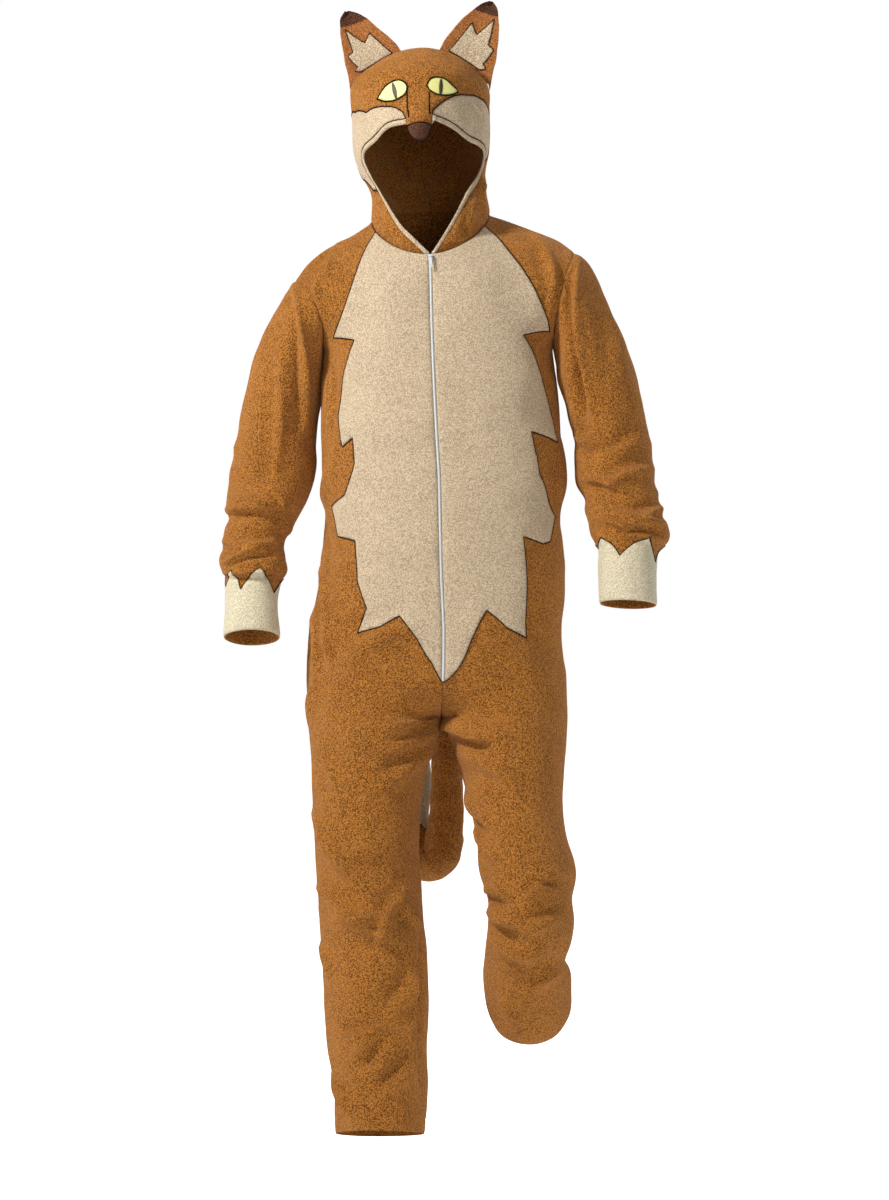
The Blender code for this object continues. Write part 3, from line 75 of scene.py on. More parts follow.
# Leg rings from the crotch to the hem
LEG_NAMES = "z inner outer y front back drop lift"
LEG = {
    "right": table(LEG_NAMES, [
        (-850, -10, -203, -18, 114, 124, 9, 2), (-908, -25, -200, -34, 104, 114, 2, 4),
        (-968, -29, -196, -52, 98, 104, 0, 6), (-1027, -28, -192, -69, 93, 97, 0, 8),
        (-1100, -23, -187, -86, 89, 90, 0, 12), (-1146, -17, -184, -94, 87, 87, 0, 14),
        (-1200, -15, -180, -107, 85, 85, 0, 15), (-1250, -15, -177, -119, 83, 84, 0, 16),
        (-1304, -17, -171, -133, 81, 82, 0, 17), (-1348, -15, -161, -145, 79, 80, 0, 18),
        (-1390, -17, -161, -155, 78, 79, 0, 18), (-1426, -20, -159, -164, 78, 79, 0, 18),
    ]),
    "left": table(LEG_NAMES, [
        (-850, 26, 203, -24, 116, 122, 9, 4), (-909, 45, 198, -47, 106, 110, 3, 9),
        (-967, 60, 202, -70, 98, 101, 0, 13), (-1025, 65, 217, -94, 93, 95, 0, 13),
        (-1067, 77, 211, -106, 90, 91, 0, 9), (-1101, 78, 214, -108, 88, 89, 0, 0),
        (-1133, 76, 210, -99, 85, 85, 0, -10), (-1165, 73, 200, -82, 81, 82, 0, -20),
        (-1189, 71, 210, -67, 80, 80, 0, -26), (-1215, 72, 212, -49, 78, 78, 0, -31),
        (-1246, 77, 212, -27, 76, 76, 0, -35), (-1266, 86, 203, -6, 71, 72, 0, -35),
    ]),
}
# Armhole: shoulder tip and armpit, with the inward bow of its front and back
ARMHOLE = {
    "right": {"tip": (-229, 5, -90), "pit": (-181, 0, -192), "depth": 76, "bow": (14, 4)},
    "left": {"tip": (219, 5, -45), "pit": (182, 0, -192), "depth": 78, "bow": (-6, 4)},
}
SHOULDER = {
    "right": table("x z", [(-107, 4), (-139, -17), (-181, -39), (-211, -64), (-229, -90)]),
    "left": table("x z", [(83, 16), (114, 6), (157, -10), (194, -25), (219, -45)]),
}
# Sleeve rings from the armhole to the wrist
SLEEVE_NAMES = "x_out z_out x_in z_in y depth lift bow"
SLEEVE = {
    "right": table(SLEEVE_NAMES, [
        (-229, -90, -181, -192, 2.5, 76, 0, 14), (-244, -108, -185, -207, 7, 75, 0, 8),
        (-258, -134, -187, -224, 13, 73, 0, 4), (-275, -171, -187, -246, 18, 71, 0, 0),
        (-287, -205, -187, -267, 21, 70, 0, 0), (-299, -241, -188, -288, 23, 69, 0, 0),
        (-314, -287, -193, -315, 23, 69, 0, 0), (-323, -337, -196, -350, 21, 68, 0, 0),
        (-333, -385, -195, -389, 16, 67, 2, 0), (-337, -425, -205, -427, 8, 66, 4, 0),
        (-339, -465, -223, -466, -2, 62, 8, 0), (-344, -505, -244, -506, -10, 54, 10, 0),
        (-350, -532, -243, -533, -17, 59, 12, 0), (-346, -551, -240, -553, -22, 54, 12, 0),
        (-338, -568, -252, -573, -27, 45, 12, 0), (-336, -598, -256, -600, -34, 43, 12, 0),
        (-336, -628, -254, -629, -41, 42, 13, 0), (-338, -660, -251, -659, -48, 41, 13, 0),
    ]),
    "left": table(SLEEVE_NAMES, [
        (219, -45, 182, -192, 2.5, 78, 0, -6), (238, -61, 187, -207, -2, 77, 0, -4),
        (253, -87, 190, -221, -8, 76, 0, -2), (267, -121, 191, -236, -14, 74, 0, 0),
        (280, -155, 193, -252, -18, 73, 0, 0), (295, -191, 198, -270, -20, 72, 0, 0),
        (313, -238, 205, -293, -21, 71, 0, 0), (326, -287, 210, -320, -22, 70, 0, 0),
        (335, -338, 215, -350, -23, 69, 3, 0), (342, -380, 217, -384, -27, 68, 6, 0),
        (346, -414, 220, -416, -35, 66, 10, 0), (351, -440, 235, -441, -43, 62, 12, 0),
        (358, -468, 237, -468, -54, 60, 14, 0), (367, -490, 240, -492, -64, 61, 13, 0),
        (364, -508, 247, -508, -70, 55, 11, 0), (347, -524, 255, -523, -76, 45, 10, 0),
        (342, -549, 253, -547, -85, 43, 9, 0), (342, -579, 253, -577, -96, 42, 8, 0),
        (342, -609, 254, -605, -105, 41, 7, 0),
    ]),
}
# Hood rings from the neck to just past the pole of the crown
HOOD = table("z mid half_width y front back", [
    (10, -12, 95, 0, 98, 92), (50, -15, 92, 5, 96, 104), (85, -25, 100.5, 11, 110, 117),
    (120, -27, 108.5, 14, 119, 124), (160, -27.5, 110.5, 16, 124, 127), (200, -29, 109.5, 17, 123, 126),
    (232, -29, 103, 17, 114, 117), (260, -25, 74, 18, 84, 87), (278, -26, 39, 18, 44, 46),
    (285, -27, 0, 18, 0, 0), (278, -28, -39, 18, -44, -46),
])
POLE_ROW = 9
SNOUT = {"x": -28, "z": 128, "width": 27, "height": 46, "rise": 24}
# Outlines on the hood by angle from the front, degrees, and height, millimetres
BINDING_WIDTH = 9.0
OPENING_STEPS = 2
OPENING_LOW = 9
# Growth of the opening past the neck seam, and of the cheeks under the binding
OPENING_PAST = 1.06
CHEEK_PAST = 1.03
OPENING = table("theta z", [
    (-12, 144), (-27.5, 140), (-41, 122), (-57, 109), (-61, 98), (-60, 88), (-51.5, 42),
    (-31.5, -5), (-13.5, -34), (-1, -54), (1.5, -54), (10, -34), (25, 3), (43.5, 46),
    (62, 74), (71, 95), (69, 112), (57, 119), (43, 124), (25.5, 141), (12, 150),
])
NOSE = table("theta z", [
    (9, 142), (7.5, 131), (5, 121), (0, 116.5), (-5.5, 120.5), (-9.5, 131), (-10.5, 141),
])
CHEEK = {
    "right": table("theta z", [
        (-12, 144), (-12, 153), (-14.5, 164), (-20.5, 172), (-30, 175), (-42, 175), (-51, 170),
        (-70, 176), (-97, 172), (-104, 140), (-101, 105), (-88, 72), (-66, 50), (-51, 41),
    ]),
    "left": table("theta z", [
        (10, 150), (10.5, 166), (17, 178), (26, 189), (44, 196), (60, 196), (78, 186),
        (91, 160), (90, 130), (82, 104), (71, 95),
    ]),
}
FACE_BACK = table("theta z", [
    (-97, 172), (-96, 200), (-95, 226), (-94, 256), (-90, 279), (0, 288), (90, 279), (94, 256),
    (95, 226), (93, 196), (91, 160),
])
EYE = {
    "right": table("theta z", [
        (-37, 188), (-30.5, 204), (-24.5, 212), (-17, 215.5), (-11.5, 210), (-10, 202), (-12.5, 191),
        (-21.5, 183), (-30, 183),
    ]),
    "left": table("theta z", [
        (6, 206), (9, 216), (15, 220), (22.5, 217), (28, 209), (33, 199), (24.5, 192), (14.5, 192),
        (8, 198),
    ]),
}
PUPIL = {
    "right": table("theta z", [
        (-23.2, 209), (-21.6, 211), (-18.9, 200), (-18.3, 188), (-20, 186), (-22.2, 197),
    ]),
    "left": table("theta z", [(17.2, 216), (19, 216), (19.4, 204), (18, 193), (16.2, 193), (16, 205)]),
}
TEAR = {
    "right": table("theta z", [
        (-10.7, 196), (-9.6, 196), (-9.6, 172), (-8.6, 158), (-9.8, 154), (-10.9, 172),
    ]),
    "left": table("theta z", [(7.4, 194), (8.6, 194), (8.2, 176), (8.2, 160), (6.9, 160), (7, 176)]),
}
# Belly edge from the neck to the point below the zip, seen from the front
BELLY = {
    "right": table("x z", [
        (-99, -17), (-133, -96), (-165, -186), (-131, -192), (-148, -248), (-158, -309), (-149, -360),
        (-133, -346), (-130, -387), (-146, -435), (-167, -452), (-157, -500), (-129, -507), (-126, -570),
        (-112, -612), (-127, -652), (-89, -642), (-60, -625), (-31, -662), (-8, -698), (10, -728),
    ]),
    "left": table("x z", [
        (74, -8), (112, -49), (147, -100), (172, -158), (174, -174), (134, -184), (174, -285), (188, -351),
        (146, -336), (160, -403), (184, -468), (177, -508), (165, -512), (134, -501), (139, -565),
        (138, -660), (107, -644), (76, -616), (53, -661), (34, -702), (10, -729),
    ]),
}
# Ear sections from base to tip: both edges of the ear, seen from the front
EAR_DISH = 8
EAR_NAMES = "x_out z_out x_in z_in y thick seated"
EAR = {
    "right": table(EAR_NAMES, [
        (-132, 228, -58, 279, 12, 12, 1), (-147, 252, -67, 292, 14, 12, 1),
        (-152, 278, -79, 304, 16, 11, 1), (-156, 302, -95, 317, 17, 9, 1), (-157, 319, -114, 334, 17, 7, 1),
    ]),
    "left": table(EAR_NAMES, [
        (74, 228, 1, 281, 12, 12, 1), (91, 258, 11, 299, 14, 12, 1), (96, 290, 24, 316, 16, 11, 1),
        (98, 318, 40, 334, 17, 9, 1), (97, 336, 58, 349, 17, 7, 1),
    ]),
}
EAR_TIP = {
    "right": table(EAR_NAMES, [
        (-157, 319, -114, 334, 17, 7, 0), (-157, 333, -129, 342, 17, 6, 0),
        (-150, 345, -143, 346, 17, 3, 0),
    ]),
    "left": table(EAR_NAMES, [
        (97, 336, 58, 349, 17, 7, 0), (95, 350, 71, 358, 17, 6, 0), (88, 361, 83, 362, 17, 3, 0),
    ]),
}
# Ear fur outline across the ear, 0 outer edge to 1 inner edge, and up it, 0 base to 1 top row
EAR_FUR = table("across up", [
    (0.2, 0.09), (0.12, 0.16), (0.2, 0.2), (0.08, 0.42), (0.2, 0.46), (0.16, 0.92), (0.5, 0.55),
    (0.72, 0.72), (0.84, 0.09),
])
# Cuff's zigzag edge: angle round the sleeve from its inner side through the front, and sleeve row
CUFF = {
    "right": table("angle row", [
        (0, 14), (27, 14.8), (75, 13.45), (111, 14.85), (132, 13.65), (164, 14.5), (200, 13.5),
        (238, 14.8), (280, 13.5), (318, 14.8), (345, 13.5), (360, 14),
    ]),
    "left": table("angle row", [
        (0, 14.65), (4, 14.8), (33, 14), (72, 15.7), (114, 14.2), (160, 15.8), (200, 14.1),
        (240, 15.7), (282, 14.1), (322, 15.6), (345, 14.1), (360, 14.65),
    ]),
}
# Tail centre line from the seat to the tip
TAIL = table("x y z radius", [
    (8, 139.8, -703, 20), (8, 156, -704, 21), (9, 170, -722, 22), (11, 179, -757, 23), (13, 185, -805, 24),
    (14, 190, -860, 25), (14, 196, -920, 27), (12, 200, -976, 30), (4, 207, -1022, 34),
    (-20, 221, -1034, 35), (-39, 234, -1002, 31), (-43, 240, -966, 27), (-38, 242, -930, 25),
    (-34, 240, -895, 22), (-30, 236, -862, 14), (-28, 234, -846, 5),
])
TAIL_TIP_ROW = 10.6
# Largest folds: a soft ridge or trough between two points on one face of a part
FOLD_NAMES = "x1 z1 x2 z2 width height"
FOLDS = {
    "body front": table(FOLD_NAMES, [
        (-178, -215, -150, -300, 22, -5), (182, -215, 160, -300, 22, -5), (-200, -640, -120, -700, 26, 5),
        (40, -800, 90, -815, 22, 6), (-180, -940, -150, -1000, 26, 5), (-175, -1085, -60, -1110, 24, 5),
        (-60, -1290, -130, -1330, 22, 6), (-165, -1350, -110, -1400, 22, 6), (60, -900, 100, -970, 24, 6),
        (85, -1075, 150, -1100, 22, 7), (205, -1055, 160, -1090, 22, -6), (90, -1150, 150, -1165, 20, 5),
    ]),
    "body back": table(FOLD_NAMES, [
        (-150, -230, -60, -260, 30, 6), (150, -230, 60, -260, 30, 6), (-140, -470, -20, -500, 30, 7),
        (20, -500, 150, -470, 30, 7), (-170, -790, -60, -830, 26, -6), (60, -830, 170, -790, 26, -6),
        (-160, -1090, -60, -1120, 24, 6), (90, -1100, 190, -1110, 22, -6),
    ]),
    "sleeve": table(FOLD_NAMES, [
        (-228, -100, -214, -260, 14, 4), (-312, -425, -240, -440, 18, 5), (-345, -470, -250, -455, 14, -4),
        (-340, -520, -262, -512, 14, -4), (222, -80, 246, -290, 14, 4), (225, -335, 290, -352, 18, -5),
        (365, -480, 300, -492, 12, -4), (240, -455, 300, -462, 14, 5),
    ]),
}


# Creases in millimetres: front ones as the camera sees them, back ones from straight behind
CREASE_NAMES = "x1 z1 x2 z2 bow width height"
CREASES = {
    "front": table(CREASE_NAMES, [
        (-172, -50, -198, -135, 6, 9, 5), (-150, -20, -182, -95, 5, 10, 4),
        (-205, -95, -178, -190, 4, 8, 5), (160, -20, 192, -120, -6, 10, 5),
        (192, -70, 186, -180, -4, 8, -5), (-166, -190, -169, -330, 0, 9, -3),
        (187, -190, 197, -320, 0, 12, 2), (-160, -350, -186, -470, 5, 10, 4),
        (196, -350, 190, -470, -4, 10, 4), (-186, -450, -175, -545, 0, 9, -4),
        (-120, -300, 60, -330, 14, 26, 2), (-130, -520, 90, -545, -12, 26, 2),
        (-40, -640, -150, -700, 8, 19.8, 6.5), (50, -640, 170, -720, -8, 19.8, 6.5),
        (-189, -552, -182, -655, -3, 6, 5), (-182, -655, -170, -703, 0, 8.8, 6.5),
        (-199, -634, -196, -723, -2, 8.8, 6.5), (-197, -728, -205, -795, 2, 8.8, 5.5),
        (11, -795, 24, -808, 0, 8.8, 7.5), (24, -808, 86, -822, 3, 8.8, 7.5),
        (5, -800, -70, -838, -5, 9.9, 7.5), (4, -815, -96, -900, -8, 13.2, 6.5),
        (45, -909, 82, -963, 3, 8.8, 7.5), (58, -960, 92, -1016, 2, 8.8, 7.5),
        (40, -850, 130, -905, -8, 15.4, 6.5), (-197, -942, -160, -1016, 4, 9.9, 7.5),
        (-190, -985, -120, -1050, 6, 13.2, 6.5), (-180, -1090, -90, -1112, 8, 11, 8.5),
        (-172, -1120, -70, -1145, -6, 13.2, 6.5), (-60, -1085, -28, -1120, 3, 8.8, 7.5),
        (186, -1059, 140, -1080, 5, 8.8, 7.5), (205, -1050, 160, -1066, 4, 8.8, -7.5),
        (75, -1065, 118, -1082, -4, 8.8, 7.5), (80, -1100, 135, -1118, 6, 9.9, 7.5),
        (190, -1105, 130, -1130, -5, 11, 6.5), (90, -1150, 160, -1170, 7, 13.2, 6.5),
        (200, -1190, 150, -1225, 5, 13.2, 6.5), (-138, -1334, -104, -1304, 4, 9.9, 7.5),
        (-165, -1362, -139, -1429, 3, 8.8, 8.5), (-80, -1290, -150, -1310, 6, 13.2, 6.5),
        (-40, -1340, -90, -1392, -5, 11, 7.5), (-30, -1200, -75, -1260, -5, 13.2, 6.5),
        (-27, -1110, -27, -1400, 0, 8.8, -5.5), (100, -1230, 130, -1275, 4, 11, 6.5),
        (-196, -815, -165, -905, -6, 9, 6), (-190, -1150, -172, -1210, -4, 8, 6),
        (-192, -1060, -150, -1085, 4, 9, 6), (-150, -1012, -70, -1030, -14, 10, 6),
        (-48, -1060, -95, -1160, 10, 10, 6),
    ]),
    "back": table(CREASE_NAMES, [
        (-175, -70, -120, -220, 14, 14, 5), (175, -60, 120, -220, -14, 14, 5),
        (-60, -60, -110, -180, 8, 16, 4), (60, -55, 112, -190, -8, 16, 4),
        (-170, -260, -60, -330, 12, 16, 5), (175, -260, 60, -330, -12, 16, 5),
        (-150, -420, -20, -455, 12, 13, 6), (150, -430, 16, -465, -10, 13, 6),
        (-165, -480, -40, -510, -8, 12, 5), (160, -490, 40, -530, 8, 12, 5),
        (-120, -560, -20, -580, 6, 14, 4), (120, -560, 20, -595, -6, 14, 4),
        (-20, -720, -110, -800, -12, 14, 5), (30, -720, 120, -800, 12, 14, 5),
        (-30, -790, -170, -850, -8, 12, 6), (40, -790, 165, -850, 8, 12, 6),
        (-160, -880, -60, -910, 8, 14, 4), (80, -880, 170, -920, -8, 14, 4),
        (-175, -1050, -60, -1085, 10, 12, 6), (-165, -1110, -50, -1130, -8, 12, 6),
        (-170, -1160, -70, -1200, 6, 14, 4), (90, -1040, 190, -1075, -10, 12, 6),
        (95, -1100, 195, -1120, 8, 12, 6), (90, -1160, 180, -1190, -6, 13, 4),
        (-150, -1300, -70, -1335, 8, 12, 5), (-140, -1360, -50, -1390, -6, 11, 5),
        (110, -1215, 190, -1240, 6, 11, 5),
    ]),
    "sleeve front": table(CREASE_NAMES, [
        (-188, -175, -185, -275, 0, 15, 2.5), (188, -175, 198, -315, 0, 15, 2.5),
        (-228, -98, -214, -331, -7, 8, 8), (-174, -54, -199, -131, 4, 8, 4),
        (-262, -110, -296, -270, 8, 16, 4), (-250, -200, -262, -420, -4, 12, 4),
        (-330, -350, -250, -385, 10, 12, 4), (-318, -420, -240, -452, 8, 10, 6),
        (-345, -458, -262, -462, -7, 8, 6), (-250, -440, -232, -500, 4, 8, 5),
        (-346, -505, -258, -506, 8, 8, 6), (-340, -538, -268, -520, -6, 7, 6),
        (-342, -556, -262, -548, 5, 6, 5), (222, -51, 248, -301, 9, 8, 8), (262, -80, 296, -240, -8, 16, 4),
        (218, -210, 232, -330, -3, 9, -5), (221, -338, 262, -352, 6, 8, 7),
        (330, -330, 262, -372, -8, 12, 4), (348, -390, 270, -420, 8, 11, 5),
        (236, -405, 300, -430, -6, 9, 6), (362, -452, 285, -462, -8, 9, 6), (366, -482, 300, -480, 8, 7, 6),
        (255, -470, 310, -492, -5, 7, 5), (362, -505, 290, -500, 5, 6, 4),
    ]),
    "sleeve back": table(CREASE_NAMES, [
        (-230, -110, -222, -320, -8, 12, 6), (-270, -140, -300, -300, 8, 16, 4),
        (-325, -400, -250, -430, 8, 12, 6), (-340, -460, -258, -470, -8, 10, 6),
        (-342, -515, -262, -505, 6, 8, 6), (-342, -545, -265, -552, -5, 7, 5),
        (232, -80, 250, -290, 8, 12, 6), (285, -110, 310, -270, -8, 16, 4),
        (340, -350, 255, -380, -8, 12, 6), (352, -430, 270, -440, 8, 10, 6),
        (364, -475, 290, -470, -6, 8, 6),
    ]),
    "hood": table(CREASE_NAMES, [
        (-98, 150, -84, 20, -8, 8, 4), (-92, 60, -60, 0, -5, 7, 5), (-70, 30, -30, -20, -4, 6, 4),
        (66, 150, 78, 20, 8, 8, 4), (74, 70, 48, -5, 6, 7, 5), (58, 40, 26, -20, 4, 6, 4),
        (53, 202, 75, 162, -3, 3, 2.5), (-100, 90, -70, 45, 6, 8, 3), (-139, 236, -142, 188, 0, 20, 3.5),
        (80, 236, 80, 188, 0, 20, 3.5),
    ]),
    "hood back": table(CREASE_NAMES, [
        (-95, 90, -20, 40, 10, 14, 5), (40, 90, -10, 35, -10, 14, 5), (-80, 40, 30, 20, 6, 10, 4),
        (-90, 200, -60, 120, 6, 18, 3), (40, 200, 20, 120, -6, 18, 3),
    ]),
}
# The photo's camera in millimetres
EYE_X = 10.4
EYE_Z = -600.0
EYE_BACK = 5000.0
LENS = 93.75
SENSOR = 36


# Surfaces in millimetres, the same as the solids'
def row_blend(side):
    """Torso and leg rings of one half as one set of columns."""
    torso, leg = TORSO, LEG[side]
    level = np.zeros(len(torso["z"]))
    joined = {"mid": ("mid", "inner"), "out": (side, "outer"), "drop": ("drop", "drop")}
    body = {name: np.concatenate((torso[name], leg[name])) for name in ("z", "y", "front", "back")}
    body.update({name: np.concatenate((torso[a], leg[b])) for name, (a, b) in joined.items()})
    body["close"] = np.concatenate((torso["close"], 90 + np.zeros(len(leg["z"]))))
    body["lift"] = np.concatenate((level, leg["lift"]))
    return body


BODY = {side: row_blend(side) for side in SIDES}
HEM_ROW = len(BODY["right"]["z"]) - 1


def body_point(side, u, row):
    """Body surface below the armpit: u is 0 at centre front, 0.5 at the side, 1 at centre back."""
    ring = {name: spline(column, row) for name, column in BODY[side].items()}
    half, full = np.pi * u, 2 * np.pi * u
    shut = 1 - np.cos(np.radians(np.clip(ring["close"], 0, 90)))
    depth = np.where(u < 0.5, ring["front"], ring["back"])
    reach = ring["out"] - ring["mid"]
    cosine = np.cos(half)
    open_x = ring["mid"] + reach * np.abs(np.sin(half)) ** SQUARENESS
    open_y = ring["y"] - np.sign(cosine) * np.abs(cosine) ** SQUARENESS * depth
    leg_x = ring["mid"] + reach * (1 - np.cos(full)) / 2
    leg_y = ring["y"] - np.sin(full) * depth
    x = (1 - shut) * open_x + shut * leg_x
    y = (1 - shut) * open_y + shut * leg_y
    z = ring["z"] + ring["drop"] * cosine ** 2 + shut * ring["lift"] * np.sin(full)
    return np.stack([x, y, z], -1)


def spline(column, at):
    """Smooth curve through a column, read at fractional row numbers."""
    v = np.concatenate(([2 * column[0] - column[1]], column, [2 * column[-1] - column[-2]]))
    at = np.asarray(at, float)
    i = np.clip(np.floor(at).astype(int), 0, len(column) - 2)
    f = at - i
    a, b, c, d = v[i], v[i + 1], v[i + 2], v[i + 3]
    return 0.5 * (2 * b + f * (c - a + f * (2 * a - 5 * b + 4 * c - d + f * (3 * (b - c) + d - a))))


def armhole_point(side, angle):
    """Armhole ring: 0 degrees at the armpit, 90 at the front, 180 at the shoulder tip."""
    hole = ARMHOLE[side]
    tip, pit = np.array(hole["tip"], float), np.array(hole["pit"], float)
    a = np.radians(np.asarray(angle, float))[..., None]
    bow = np.array([hole["bow"][0], 0, hole["bow"][1]])
    front = np.array([0, -hole["depth"], 0])
    return (tip + pit) / 2 + (pit - tip) / 2 * np.cos(a) + front * np.sin(a) + bow * np.sin(a) ** 2


def neck_lift(theta):
    """Tilt of the neck seam: low at the front, high at the back."""
    c = np.cos(theta)
    return -43.5 * c - 23.5 * c * c + 6 * np.sin(theta)


def hood_point(theta, row):
    """Hood surface by angle from the front, radians, and ring row."""
    z = spline(HOOD["z"], row) + neck_lift(theta) * np.clip(1 - row / 3, 0, 1) ** 2
    x = spline(HOOD["mid"], row) + spline(HOOD["half_width"], row) * np.sin(theta)
    facing = np.cos(theta) > 0
    depth = np.where(facing, spline(HOOD["front"], row), spline(HOOD["back"], row))
    y = spline(HOOD["y"], row) - depth * np.cos(theta)
    across = (x - SNOUT["x"]) / SNOUT["width"]
    up = (z - SNOUT["z"]) / SNOUT["height"]
    y = y - SNOUT["rise"] * np.exp(-across ** 2 - up ** 2) * facing
    return np.stack([x, y, z], -1)


def shoulder_point(side, f):
    """Shoulder seam from the neck, 0, to the shoulder tip, 1."""
    at = np.asarray(f, float) * (len(SHOULDER[side]["x"]) - 1)
    y = ARMHOLE[side]["tip"][1] * np.asarray(f, float)
    return np.stack([spline(SHOULDER[side]["x"], at), y, spline(SHOULDER[side]["z"], at)], -1)


def yoke(side, face, steps_u, steps_v):
    """Panel above the armpit between centre, armhole, shoulder seam and neck seam, top row first."""
    f = np.linspace(0, 1, steps_u + 1)
    v = np.linspace(0, 1, steps_v + 1)
    front = face == "front"
    chest = body_point(side, f / 2 if front else 1 - f / 2, np.zeros(steps_u + 1))
    turn = np.clip(f / 0.5, 0, 1) * np.pi / 2
    theta = SIDES[side] * (turn if front else np.pi - turn)
    neck = hood_point(theta, np.zeros(steps_u + 1))
    shoulder = shoulder_point(side, np.clip(f / 0.5 - 1, 0, 1))
    top = np.where((f <= 0.5)[:, None], neck, shoulder)
    centre = chest[0] + (top[0] - chest[0]) * v[:, None]
    arm = armhole_point(side, 180 * v if front else 360 - 180 * v)
    f, v = f[None, :, None], v[:, None, None]
    corners = (1 - f) * ((1 - v) * chest[0] + v * top[0]) + f * ((1 - v) * chest[-1] + v * top[-1])
    patch = (1 - v) * chest[None] + v * top[None] + (1 - f) * centre[:, None] + f * arm[:, None] - corners
    return patch[::-1]


def fold_offset(points, folds):
    """Height of the folds at each point, from its distance to each fold's line in the front view."""
    total = np.zeros(points.shape[:-1])
    flat = points[..., [0, 2]]
    for k in range(len(folds["x1"])):
        a = np.array([folds["x1"][k], folds["z1"][k]])
        b = np.array([folds["x2"][k], folds["z2"][k]])
        t = np.clip(((flat - a) @ (b - a)) / ((b - a) @ (b - a)), 0, 1)
        miss = np.linalg.norm(flat - (a + t[..., None] * (b - a)), axis=-1)
        total += folds["height"][k] * np.exp(-(miss / folds["width"][k]) ** 2)
    return total


def normals_of(grid, outward, closed=False):
    """Unit normals of a grid of points; outward is a rough outward direction for each point."""
    if closed:
        wrapped = np.concatenate((grid[:, -2:-1], grid, grid[:, 1:2]), 1)
        across = np.gradient(wrapped, axis=1)[:, 1:-1]
    else:
        across = np.gradient(grid, axis=1)
    normal = np.cross(across, np.gradient(grid, axis=0))
    normal /= np.linalg.norm(normal, axis=-1, keepdims=True) + 1e-12
    flip = np.sign(np.sum(normal * outward, axis=-1).sum())
    return normal * flip


def body_grid(side, face):
    """Fine grid of one body panel, top to hem and centre to side, with its normals."""
    steps = COLUMNS * FINE
    u = np.linspace(0, 0.5, steps + 1) if face == "front" else np.linspace(1, 0.5, steps + 1)
    rows = np.linspace(0, HEM_ROW, HEM_ROW * FINE + 1)
    lower = body_point(side, *np.meshgrid(u, rows))
    grid = np.concatenate((yoke(side, face, steps, YOKE_ROWS * FINE)[:-1], lower))
    chest = YOKE_ROWS * FINE
    for _ in range(40):
        near = grid[:-2, 1:-1] + grid[2:, 1:-1] + grid[1:-1, :-2] + grid[1:-1, 2:]
        band = slice(0, chest + FINE)
        grid[1:-1, 1:-1][band] += 0.5 * (near / 4 - grid[1:-1, 1:-1])[band]
        grid[1:chest + FINE, 0] += 0.25 * (grid[:chest + FINE - 1, 0] + grid[2:chest + FINE + 1, 0]
                                           - 2 * grid[1:chest + FINE, 0])
    centre = np.array([SIDES[side] * HALF_MIDDLE, 0, 0])
    outward = grid - np.array([1, 1, 0]) * centre - np.array([0, 0, 1]) * grid
    normal = normals_of(grid, outward)
    folds = fold_offset(grid, FOLDS["body " + face])
    across = np.linspace(0, 1, steps + 1)
    fade = np.minimum(1, 4 * across) * np.minimum(1, 4 * (1 - across))
    grid = grid + normal * (folds * fade)[..., None]
    return grid, normals_of(grid, outward)


def sleeve_point(side, angle, row):
    """Sleeve surface: angle 0 inside, 90 front, 180 outside, 270 back."""
    ring = {name: spline(column, row) for name, column in SLEEVE[side].items()}
    a = np.radians(angle)
    swing = np.cos(a)
    x = (ring["x_in"] + ring["x_out"]) / 2 + (ring["x_in"] - ring["x_out"]) / 2 * swing
    z = (ring["z_in"] + ring["z_out"]) / 2 + (ring["z_in"] - ring["z_out"]) / 2 * swing
    x = x + ring["bow"] * np.sin(a) ** 2
    rise = ARMHOLE[side]["bow"][1] * np.clip(1 - row, 0, 1) * np.sin(a) ** 2
    return np.stack([x, ring["y"] - ring["depth"] * np.sin(a), z + ring["lift"] * np.sin(a) + rise], -1)


def sleeve_grid(side):
    """Fine grid of a sleeve, closed round, with its normals."""
    angle = np.linspace(0, 360, SLEEVE_COLUMNS * FINE + 1)
    last = len(SLEEVE[side]["y"]) - 1
    grid = sleeve_point(side, *np.meshgrid(angle, np.linspace(0, last, last * FINE + 1)))
    outward = grid - grid[:, :-1].mean(1, keepdims=True)
    normal = normals_of(grid, outward, closed=True)
    fade = np.minimum(1, np.linspace(0, last, last * FINE + 1) / 2)[:, None]
    grid = grid + normal * (fold_offset(grid, FOLDS["sleeve"]) * fade)[..., None]
    grid[:, -1] = grid[:, 0]
    return grid, normals_of(grid, outward, closed=True)


def unit(vector):
    """Vector or vectors at length one."""
    v = np.asarray(vector, float)
    return v / np.linalg.norm(v, axis=-1, keepdims=True)


def inside(points, outline):
    """Which points lie in a closed outline."""
    x, y = points[:, 0], points[:, 1]
    result = np.zeros(len(points), bool)
    for (x1, y1), (x2, y2) in zip(outline, np.roll(outline, -1, 0)):
        crosses = (y1 > y) != (y2 > y)
        at = x1 + (y - y1) * (x2 - x1) / np.where(y2 == y1, 1e-12, y2 - y1)
        result ^= crosses & (x < at)
    return result


def finer(outline, longest):
    """Closed outline with points added so no side is longer than the given length."""
    out = []
    for a, b in zip(outline, np.roll(outline, -1, 0)):
        count = max(1, math.ceil(np.linalg.norm(b - a) / longest))
        out += [a + (b - a) * k / count for k in range(count)]
    return np.array(out)


def disc(theta, row):
    """Flat place on the hood: the crown is the middle and the neck seam the edge."""
    r = 1 - np.asarray(row, float) / POLE_ROW
    return np.stack([r * np.sin(theta), -r * np.cos(theta)], -1)


